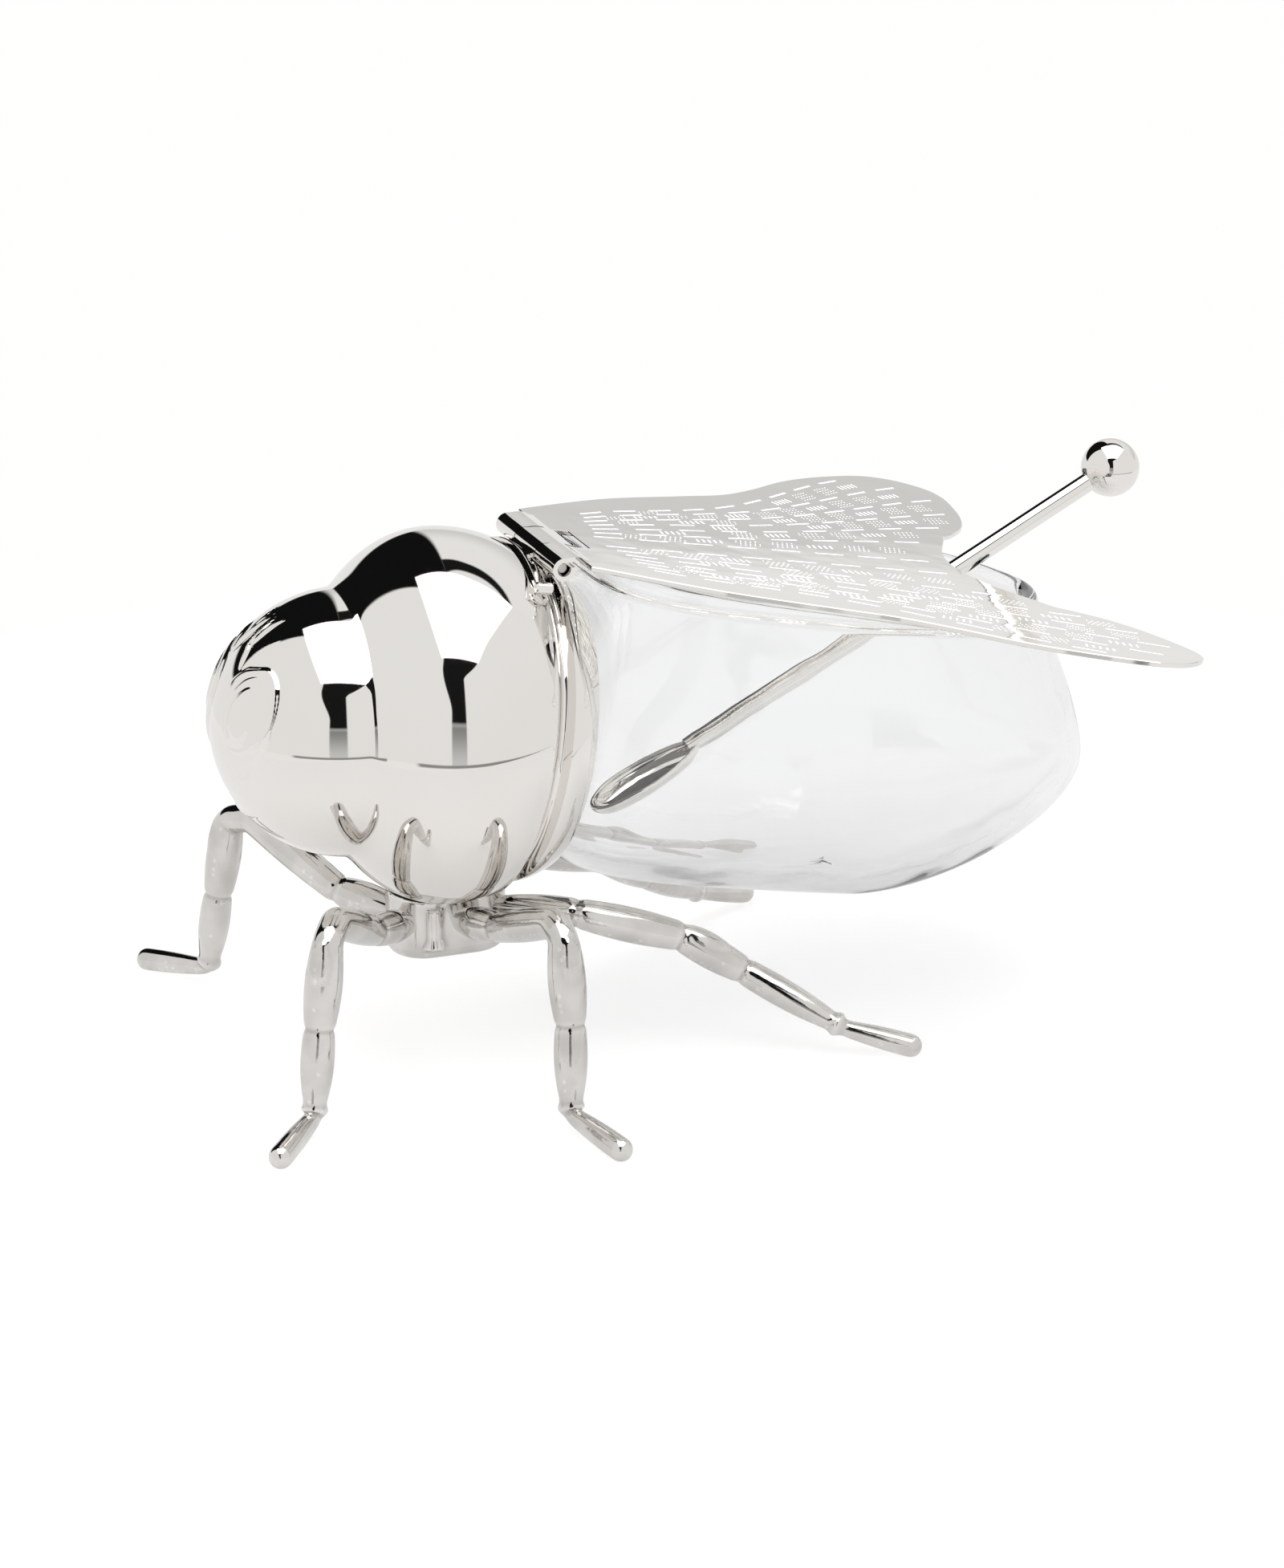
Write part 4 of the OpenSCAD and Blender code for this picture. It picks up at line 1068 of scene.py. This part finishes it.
def on_shell(angle, s, off):
    """Points above the shell's skin, where a plane square to the body meets it."""
    found = shell_points(cut_place(angle, s, 0), angle, 0)
    n = (found - thorax) / np.linalg.norm(found - thorax, axis=1, keepdims=True)
    return found + off * n


turn = np.radians(np.linspace(-STRAP_ANGLE, STRAP_ANGLE, 97))
section = [(strap_s[0] + d, h) for d, h in STRAP_EDGE] + [(strap_s[1] - d, h) for d, h in STRAP_EDGE[::-1]]
rows = np.stack([on_shell(turn, s, off) for s, off in section], 1)
leaf = skin("hinge_leaf_strap", rows, first=rows[0].mean(0), last=rows[-1].mean(0))
leaf.data.materials.append(polished_nickel)

leaf_curl = np.vstack([through([(6.4, 1.25), (4.6, 1.75), (2.4, 2.05), (0, curl_r)], 6)[:-1],
                       np.stack([curl_r * np.cos(a), curl_r * np.sin(a)], 1)[::-1][:40]])
FOOT_PATH = np.array([(-3.4, -0.75), (-2.4, -0.35), (-1.75, 0.0)])
half = LEAF_KNUCKLE / 2
plate = set_on_hinge(strip("plate", leaf_curl, -half, half, CURL_T))
cut_or_join(leaf, plate, "UNION")
foot = set_on_hinge(strip("foot", FOOT_PATH, -half + FOOT_IN, half - FOOT_IN, FOOT_T))
cut_or_join(leaf, foot, "UNION")
for side in (-1, 1):
    end = np.array([math.radians(side * (STRAP_ANGLE + TAB_TURN))])
    place = (on_shell(end, strap_s[0], TAB_R)[0] + on_shell(end, strap_s[1], TAB_R)[0]) / 2
    tab = turned("tab", bar_profile(TAB_R, TAB_HALF, TAB_EDGE), place, along, across, rise, 32)
    cut_or_join(leaf, tab, "UNION")
leaf.data.polygons.foreach_set("use_smooth", [True] * len(leaf.data.polygons))
sharpen(leaf, 30)
even = leaf.modifiers.new("even", "WEIGHTED_NORMAL")
even.keep_sharp = True
finished(leaf)
dress(leaf, "polished_nickel", "root", "hinge_leaf")

# %% Turn the pin
PIN_EDGE = 0.25
pin = turned("hinge_pin_turned", bar_profile(PIN_R, HINGE_LEN / 2 - PIN_RECESS, PIN_EDGE),
             on_body(HINGE_S, 0, HINGE_H), across, along, rise, 48)
sharpen(pin)
dress(pin, "pin_steel", "root", "hinge_pin")

# %% [markdown]
# ## Legs
# Each leg is a casting: swellings like muscles between creases, a knee, a shield under the knee, a
# bead at the ankle and a bulb for a foot. Its shape follows a rule, a path with a radius that swells
# between stations, so a Geometry Nodes tree sweeps it. The sweep crosses itself inside the knee, so
# it is remeshed into one skin, which also softens it the way a cast wax is soft.

# %% Limb tree
def limb_tree():
    """Sweeps a ring along a path of points, as thick as each of them says."""
    tree, into = start_tree("swept_limb", "Sides", "Int")
    radius = node(tree, "GeometryNodeInputNamedAttribute", {"Name": "thick"}, data_type="FLOAT").outputs[0]
    curve = node(tree, "GeometryNodeMeshToCurve", {"Mesh": into["Geometry"]}).outputs[0]
    ring = node(tree, "GeometryNodeCurvePrimitiveCircle",
                {"Resolution": into["Sides"], "Radius": 1.0}).outputs[0]
    tube = node(tree, "GeometryNodeCurveToMesh",
                {"Curve": curve, "Profile Curve": ring, "Scale": radius, "Fill Caps": True}).outputs[0]
    return end_tree(tree, tube, into["Material"])


LIMB = limb_tree()


def swept(name, path, radius, sides, finish):
    """Tube along a path with a radius at each point, closed at both ends."""
    made = piece(name, path, edges=[(i, i + 1) for i in range(len(path) - 1)])
    thick = made.data.attributes.new("thick", "FLOAT", "POINT")
    thick.data.foreach_set("value", np.asarray(radius) * MM)
    sweep = made.modifiers.new("sweep", "NODES")
    sweep.node_group = LIMB
    set_inputs(sweep, Sides=sides, Material=finish)
    return finished(made)


def blurred(values, sigma):
    """Values along a path averaged over a bell of that many points; the ends stay."""
    half = int(3 * sigma)
    bell = np.exp(-0.5 * (np.arange(-half, half + 1) / sigma) ** 2)
    bell /= bell.sum()
    padded = np.concatenate([2 * values[:1] - values[1:half + 1][::-1], values,
                             2 * values[-1:] - values[-half - 1:-1][::-1]])
    if values.ndim == 1:
        return np.convolve(padded, bell, "valid")
    return np.stack([np.convolve(column, bell, "valid") for column in padded.T], 1)


# %% Leg stations
HUB_X, HUB_R, ROOT_R, ROOT_IN = thorax[0] + 1.0, 7.5, 2.5, 1.2
LEG_TABLE = {
    "front": ((HUB_X - 4.5, 0, 24.0), [(-17.3, 11.9, 27.5, 2.9), (-29.8, 30, 38, 2.9), (-33, 35.6, 36.4, 2.9),
              (-35.5, 37.2, 20, 2.9), (-37.6, 39.4, 3.4, 1.6), (-47.4, 51.4, 2.0, 2.3)],
              (3.4, 3.3, 2.9, 3.6, 3.1, 2.2)),
    "middle": ((HUB_X, 0, 24.0), [(5.6, 19, 27.8, 2.9), (8.3, 44.5, 38, 2.9), (8.4, 49.6, 36.4, 2.9),
               (9, 51.4, 20, 2.9), (7.8, 55, 3.4, 1.6), (12.2, 70, 2.0, 2.3)],
               (3.4, 3.3, 2.9, 3.6, 3.1, 2.2)),
    "rear": ((HUB_X + 4.5, 0, 25.2), [(22, 18.4, 28.4, 2.9), (41.8, 23.1, 22.6, 2.9), (53.3, 27.5, 15.4, 2.7),
             (69.5, 39.2, 5.6, 1.6), (81.8, 44.3, 2.0, 2.3)], (3.3, 3.5, 3.3, 2.8, 2.2)),
}
STEP, PATH_BLUR, RADIUS_BLUR, LEG_SIDES = 0.3, 4.0, 0.8, 28
CREASE, CREASE_W = 0.32, 0.55
BEAD, BEAD_W, BEAD_BEFORE = 0.75, 0.9, 4       # the last counts steps of the path before the ankle
SHIELD_DOWN, SHIELD_OUT, SHIELD_AXES = 5.2, 1.9, (1.9, 2.5, 6.2)


def bell_at(middle, width, count):
    """A bell over `count` steps of a path, 1 at its middle."""
    return np.exp(-((np.arange(count) - middle) * STEP / width) ** 2)


def leg_path(name):
    """Dense path and radius of a leg on the +Y side, and where its shield sits."""
    root, stations, fat = LEG_TABLE[name]
    places = [np.array(root, float)] + [np.array([thorax[0] + x, y, z]) for x, y, z, _ in stations]
    radii = [ROOT_R] + [s[3] for s in stations]
    first = (places[1] - places[0]) / np.linalg.norm(places[1] - places[0])
    places[0] = places[0] + (HUB_R - ROOT_IN) * first
    last = (places[-1] - places[-2]) / np.linalg.norm(places[-1] - places[-2])
    places[-1] = places[-1] + radii[-1] * last
    path, radius = [], []
    for a, b, ra, rb, mid in zip(places, places[1:], radii, radii[1:], fat):
        n = math.ceil(np.linalg.norm(b - a) / STEP)
        t = np.arange(n) / n
        path.append(a + (b - a) * t[:, None])
        radius.append(ra + (rb - ra) * t + (mid - (ra + rb) / 2) * np.sin(np.pi * t))
    path, radius = np.vstack(path + [places[-1:]]), np.concatenate(radius + [[radii[-1]]])
    path, radius = blurred(path, PATH_BLUR), blurred(radius, RADIUS_BLUR)
    creased = places[1:-2] if name == "rear" else [places[1], places[4]]
    for place in creased:
        away = np.linalg.norm(path - place, axis=1)
        radius -= CREASE * bell_at(np.argmin(away), CREASE_W, len(path))
    ankle = np.argmin(np.linalg.norm(path - places[-2], axis=1))
    radius += BEAD * bell_at(ankle - BEAD_BEFORE, BEAD_W, len(path))
    # the far end rounds off: the last millimetres shrink like a ball
    run = np.concatenate([[0], np.cumsum(np.linalg.norm(np.diff(path, axis=0), axis=1))])
    end, toe = run[-1] - run, radii[-1]
    ball = np.sqrt(np.clip(toe**2 - (toe - end) ** 2, 0.04, None))
    radius = np.where(end < toe, ball, radius)
    knee = 3 if name != "rear" else 2
    return path, radius, places[knee], places[knee + 1]


def ellipsoid_points(centre, axes, rows=10, count=16):
    """Closed ellipsoid: rows of points between two poles; axes are three vectors."""
    lat = np.radians(np.linspace(-90, 90, rows + 2)[1:-1])
    lon = np.arange(count) * 2 * math.pi / count
    unit = np.stack([np.cos(lat)[:, None] * np.cos(lon), np.cos(lat)[:, None] * np.sin(lon),
                     np.repeat(np.sin(lat)[:, None], count, 1)], 2)
    return centre + unit @ np.asarray(axes), centre - axes[2], centre + axes[2]


VOXEL, PASSES = 0.24, 9


def cast(made, voxel=VOXEL, passes=PASSES):
    """Turns overlapping shapes into one softened skin."""
    made.data.materials.clear()
    made.data.materials.append(cast_nickel)
    grow = made.modifiers.new("skin", "REMESH")
    grow.mode, grow.voxel_size, grow.use_smooth_shade = "VOXEL", voxel * MM, True
    calm = made.modifiers.new("calm", "SMOOTH")
    calm.factor, calm.iterations = 0.5, passes
    return finished(made)


def merge_into(made, other):
    """Adds another object's mesh to this one and removes it."""
    work = bmesh.new()
    work.from_mesh(made.data)
    work.from_mesh(other.data)
    work.to_mesh(made.data)
    work.free()
    bpy.data.objects.remove(other)


# %% Build the legs
for name in ("front", "middle", "rear"):
    path, radius, knee, below = leg_path(name)
    leg = swept(name + "_leg", path, radius, LEG_SIDES, cast_nickel)
    down = (below - knee) / np.linalg.norm(below - knee)
    outward = knee * (1, 1, 0) - np.array([HUB_X, 0, 0])
    outward -= down * (outward @ down)
    outward /= np.linalg.norm(outward)
    wide = np.cross(down, outward)
    axes = [length * way for length, way in zip(SHIELD_AXES, (outward, wide, down))]
    shield, low_pole, high_pole = ellipsoid_points(knee + SHIELD_DOWN * down + SHIELD_OUT * outward, axes)
    merge_into(leg, skin("shield", shield, first=low_pole, last=high_pole))
    cast(leg)
    at = read(leg.data.vertices, "co", 3)
    at[:, 2] = np.maximum(at[:, 2], 0.0)
    leg.data.vertices.foreach_set("co", at.ravel())
    leg.data.update()
    twin = leg.copy()
    twin.data = leg.data.copy()
    bpy.context.scene.collection.objects.link(twin)
    at[:, 1] *= -1
    twin.data.vertices.foreach_set("co", at.ravel())
    twin.data.flip_normals()
    twin.data.update()
    leg.name, twin.name = name + "_leg_cast_right", name + "_leg_cast_left"
    dress(leg, "cast_nickel", "root", name + "_leg_right")
    dress(twin, "cast_nickel", "root", name + "_leg_left")

# %% [markdown]
# ## Hub, screw and boss
# The hub is the casting that the six legs are brazed into. Its form comes from the frame's own part,
# copied, merged and softened like the legs. The screw and its boss are small turned parts, shown as
# they are in the frame.

# %% Soften the hub
HUB_VOXEL, HUB_PASSES = 0.3, 5
hub_mesh = frame["nodes"]["leg_hub"].data.copy()
hub = bpy.data.objects.new("leg_hub_cast", hub_mesh)
hub.matrix_world = frame["nodes"]["leg_hub"].matrix_world.copy()
bpy.context.scene.collection.objects.link(hub)
hub.data.transform(hub.matrix_world)
hub.matrix_world.identity()
face_outwards(hub)
cast(hub, HUB_VOXEL, HUB_PASSES)
dress(hub, "cast_nickel", "root", "leg_hub")

for name, finish in (("hub_screw", pin_steel), ("shell_boss", pin_steel), ("glass_seal", seal_rubber)):
    shown = frame["nodes"][name]
    if not shown.material_slots:
        shown.data.materials.append(finish)
    for place in shown.material_slots:
        place.material = finish
    print(name, "keeps the frame's form")

# %% [markdown]
# ## Spoon
# A round rod with a ball on top and a small leaf-shaped scoop below, which stands in the honey.

# %% Build the spoon
STEM_SLOPE = math.radians(28)
STEM_R, BALL_R, SPOON_LEN = 1.95, 5.99, 128.0
SCOOP_LEN, SCOOP_W, SCOOP_D, SCOOP_WALL, RIM_UP = 26.0, 6.2, 3.6, 0.9, 0.3
IN_SCOOP, IN_BALL, ROD_SIDES, SCOOP_TAPER = 3, 4, 48, 0.2
lift = next(j for j in frame["joints"] if j["name"] == "spoon_lift")
ball_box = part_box("spoon_ball")
ball_at = (np.array(ball_box[0]) + np.array(ball_box[1])) / 2 / MM
stem = np.array([math.cos(STEM_SLOPE), 0.0, math.sin(STEM_SLOPE)])
stem_up = np.array([-math.sin(STEM_SLOPE), 0.0, math.cos(STEM_SLOPE)])
tip = ball_at - SPOON_LEN * stem
print("spoon from", np.round(tip, 1), "to", np.round(ball_at, 1))

stem_z = np.linspace(SCOOP_LEN - IN_SCOOP, SPOON_LEN - IN_BALL, 40)
rod_path = [tip + z * stem for z in stem_z]
rod = swept("spoon_rod", rod_path, np.full(len(stem_z), STEM_R), ROD_SIDES, polished_nickel)
sharpen(rod, 50)
dress(rod, "polished_nickel", "spoon", "spoon_stem")

a = np.radians(np.linspace(0, 180, 49))
ball = turned("spoon_ball_turned", np.stack([BALL_R * np.sin(a), -BALL_R * np.cos(a)], 1),
              ball_at, stem, across, stem_up, 96)
dress(ball, "polished_nickel", "spoon", "spoon_ball")


def scoop_ring(inset, deep, count=96):
    """Level curve of the scoop, so far in from its rim and so deep under it."""
    a = -np.arange(count) * 2 * math.pi / count
    y = (SCOOP_W - inset) * np.sin(a) * (1 - SCOOP_TAPER * np.cos(a))
    z = SCOOP_LEN / 2 + (SCOOP_LEN / 2 - inset) * np.cos(a)
    return tip + z[:, None] * stem + y[:, None] * across - deep * stem_up


down = np.radians(np.linspace(0, 90, 25)[1:])
outside_rows = [scoop_ring(SCOOP_W * (1 - math.sin(b)), SCOOP_D * math.cos(b)) for b in down]
rim = np.radians([30, 60, 90, 120, 150])
rim_rows = [scoop_ring(SCOOP_WALL / 2 * (1 - math.cos(b)), -RIM_UP * math.sin(b)) for b in rim]
inside_rows = [scoop_ring(SCOOP_WALL + (SCOOP_W - SCOOP_WALL) * (1 - math.sin(b)),
                          (SCOOP_D - SCOOP_WALL) * math.cos(b)) for b in down[::-1]]
middle = tip + SCOOP_LEN / 2 * stem
scoop = skin("spoon_scoop_pressed", np.array(outside_rows + rim_rows + inside_rows),
             first=middle - SCOOP_D * stem_up, last=middle + (SCOOP_WALL - SCOOP_D) * stem_up)
dress(scoop, "polished_nickel", "spoon", "spoon_scoop")

# %% [markdown]
# ## Floor and light
# The photo is a cut-out on white, so the floor is white and melts into the backdrop, and keeps only
# the soft shadow. A mirror shows its room, so the room is drawn as a map of directions: a grey warm
# wall, one soft box overhead, dark gaps beside it, and a dark slit where the photographer stands.

# %% Floor
FLOOR_R, FLOOR_SIDES = 300.0, 96
FLOOR_GLOW = (("Is Camera Ray", 0.68), ("Is Transmission Ray", 0.46), ("Is Glossy Ray", 0.44))
turns = np.arange(FLOOR_SIDES) * 2 * math.pi / FLOOR_SIDES
floor = piece("floor", [(FLOOR_R * math.cos(t), FLOOR_R * math.sin(t), 0) for t in turns],
              [tuple(range(FLOOR_SIDES))])
floor_look = bpy.data.materials.new("floor_white")
floor_look.use_nodes = True
tree = floor_look.node_tree
tree.nodes.clear()
ray = node(tree, "ShaderNodeLightPath").outputs
seen = 0.0
for kind, strength in FLOOR_GLOW:
    seen = maths(tree, "MAXIMUM", seen, maths(tree, "MULTIPLY", ray[kind], strength))
paint = node(tree, "ShaderNodeBsdfDiffuse", {"Color": (0.8, 0.8, 0.8, 1)}).outputs[0]
glow = node(tree, "ShaderNodeEmission", {"Strength": seen}).outputs[0]
both_looks = node(tree, "ShaderNodeAddShader", {0: paint, 1: glow}).outputs[0]
node(tree, "ShaderNodeOutputMaterial", {"Surface": both_looks})
floor.data.materials.append(floor_look)
floor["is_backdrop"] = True

# %% Room map
world = bpy.data.worlds.new("room")
bpy.context.scene.world = world
world.use_nodes = True
tree = world.node_tree
tree.nodes.clear()
way = node(tree, "ShaderNodeSeparateXYZ", {0: node(tree, "ShaderNodeTexCoord").outputs["Generated"]}).outputs
DEGREE = 180 / math.pi
az = maths(tree, "MULTIPLY", maths(tree, "ARCTAN2", way["X"], way["Y"]), DEGREE)
el = maths(tree, "MULTIPLY", maths(tree, "ARCSINE", way["Z"]), DEGREE)
az_round = maths(tree, "FLOORED_MODULO", az, 360.0)


def between(value, low, high, soft):
    """Mask that is 1 between two limits, each a number or an output, with soft ends."""
    masks = []
    for limit in (low, high):
        a, b = maths(tree, "SUBTRACT", limit, soft), maths(tree, "ADD", limit, soft)
        masks.append(ramp(tree, value, a, b))
    return maths(tree, "SUBTRACT", masks[0], masks[1])


def product(*values):
    """Output of numbers and outputs multiplied."""
    out = values[0]
    for other in values[1:]:
        out = maths(tree, "MULTIPLY", out, other)
    return out


def total(*values):
    """Output of numbers and outputs added up."""
    out = values[0]
    for other in values[1:]:
        out = maths(tree, "ADD", out, other)
    return out


def line(value, at_a, a, at_b, b):
    """Value on a straight line through (at_a, a) and (at_b, b)."""
    slope = (b - a) / (at_b - at_a)
    return total(product(value, slope), a - at_a * slope)


def laid(base, mask, value):
    """Base with a value laid over it where the mask is 1."""
    return total(product(base, maths(tree, "SUBTRACT", 1.0, mask)), product(mask, value))


def patch(base, one_span, other_span, value):
    """Base with a value laid over a patch. A span is a place, its two limits and its softness."""
    return laid(base, product(between(*one_span), between(*other_span)), value)


# %% [markdown]
# ### What stands in the room
# The soft box is flat, so it is drawn on the plane of the ceiling, turned as the camera is. All else
# is drawn in degrees: azimuth from +Y, the far side, towards the tail, and elevation from the horizon.

# %% Draw the room
BOX_COS, BOX_SIN, BOX_LEVEL, LEAST_UP = 0.938, 0.346, 2.0, 0.02
WALL, GAP, SEAM, SLIT, BELOW, EDGE_LINE = 0.87, 0.006, 0.01, 0.01, 0.92, 0.28
up_part = maths(tree, "MAXIMUM", way["Z"], LEAST_UP)
u = maths(tree, "DIVIDE", total(product(way["X"], BOX_COS), product(way["Y"], -BOX_SIN)), up_part)
v = maths(tree, "DIVIDE", total(product(way["X"], BOX_SIN), product(way["Y"], BOX_COS)), up_part)
box_left, box_right = line(v, 0.43, -0.50, -0.83, -0.355), line(v, 0.40, 0.843, -0.77, 0.487)
softbox = product(ramp(tree, el, 5.0, 7.0), between(v, -0.82, 0.41, 0.012),
                  between(u, box_left, box_right, 0.012))
slit_left, slit_right = ramp(tree, el, 38.0, 50.0, 194.0, 166.0), ramp(tree, el, 18.0, 44.0, 209.0, 221.0)
seam_low, seam_high = line(az, 12.0, 55.0, 85.0, 47.0), line(az, 12.0, 68.0, 85.0, 50.0)
right_wall, foot = ramp(tree, el, 8.0, 32.0, 0.66, 0.88), ramp(tree, el, -14.0, 12.0, 0.62, 0.25)

room = patch(WALL, (az, 12.0, 85.0, 2.0), (el, 8.0, 55.0, 1.5), right_wall)
room = patch(room, (az, -44.0, 12.0, 1.5), (el, 8.0, 75.0, 1.5), GAP)
room = patch(room, (az, 11.0, 85.0, 1.5), (el, seam_low, seam_high, 1.0), SEAM)
room = patch(room, (az_round, 194.0, 209.0, 1.0), (el, -14.0, 12.0, 3.0), foot)
room = patch(room, (az_round, slit_left, slit_right, 0.8), (el, 12.0, 52.0, 1.5), SLIT)
room = laid(room, softbox, BOX_LEVEL)
room = laid(room, ramp(tree, el, -12.5, -13.5), BELOW)
room = patch(room, (el, -14.0, -12.2, 0.4), (az_round, 110.0, 240.0, 3.0), EDGE_LINE)

# %% [markdown]
# ### Which rays see it
# Mirrors see the whole room, and the camera sees plain white. Diffuse light gets a weaker white, so
# that the lamp still throws a shadow. Through the glass the room's darks are lifted a little.

# %% Give the room to the rays
GLASS_SHARE, GLASS_LEAST, SHADE_SHARE = 0.85, 0.08, 0.35
GREEN, BLUE = 0.998, 0.992
ray = node(tree, "ShaderNodeLightPath").outputs
through_glass = total(product(maths(tree, "MINIMUM", room, 1.0), GLASS_SHARE), GLASS_LEAST)
only_glass = product(ray["Is Transmission Ray"], maths(tree, "SUBTRACT", 1.0, ray["Is Glossy Ray"]))
seen = total(product(ray["Is Glossy Ray"], room), ray["Is Camera Ray"],
             product(ray["Is Diffuse Ray"], SHADE_SHARE), product(only_glass, through_glass))
shade = node(tree, "ShaderNodeCombineColor", {0: seen, 1: product(seen, GREEN), 2: product(seen, BLUE)})
sky = node(tree, "ShaderNodeBackground", {"Color": shade.outputs[0], "Strength": 1.0})
node(tree, "ShaderNodeOutputWorld", {"Surface": sky.outputs[0]})
print("room map of", len(tree.nodes), "nodes")

# %% Lamp and camera
lamp_data = bpy.data.lights.new("overhead", "AREA")
lamp_data.shape, lamp_data.size, lamp_data.size_y, lamp_data.energy = "RECTANGLE", 1.0, 1.0, 2.8
lamp = bpy.data.objects.new("overhead", lamp_data)
lamp.location = (0.0, 0.0, 0.9)
lamp.visible_glossy = lamp.visible_transmission = False
bpy.context.scene.collection.objects.link(lamp)

CAMERA_AT = np.array([-268.41, -699.91, 311.51])
camera_x, camera_y = np.array([0.93806, -0.34648, 0.0]), np.array([0.11602, 0.31411, 0.94227])
camera_z = np.cross(camera_x, camera_y)
camera_data = bpy.data.cameras.new("photo_view")
camera_data.lens, camera_data.sensor_width, camera_data.sensor_fit = 91.66, 36.0, "AUTO"
camera_data.clip_start, camera_data.clip_end = 0.01, 20.0
camera = bpy.data.objects.new("photo_view", camera_data)
turn = np.eye(4)
turn[:3, :3] = np.stack([camera_x, camera_y, camera_z], 1)
turn[:3, 3] = CAMERA_AT * MM
camera.matrix_world = Matrix(turn.tolist())
bpy.context.scene.collection.objects.link(camera)
bpy.context.scene.camera = camera
bpy.context.scene.view_settings.view_transform = "Standard"

# %% [markdown]
# ## Size and end
# The dressed model must fill the frame and no more, so both boxes are printed side by side.

# %% Print both boxes and finish
drawn_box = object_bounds()
for name, both_ends in (("frame", frame_box), ("drawn", drawn_box)):
    print(name, [round(float(hi - lo) / MM, 1) for lo, hi in zip(*both_ends)], "mm")
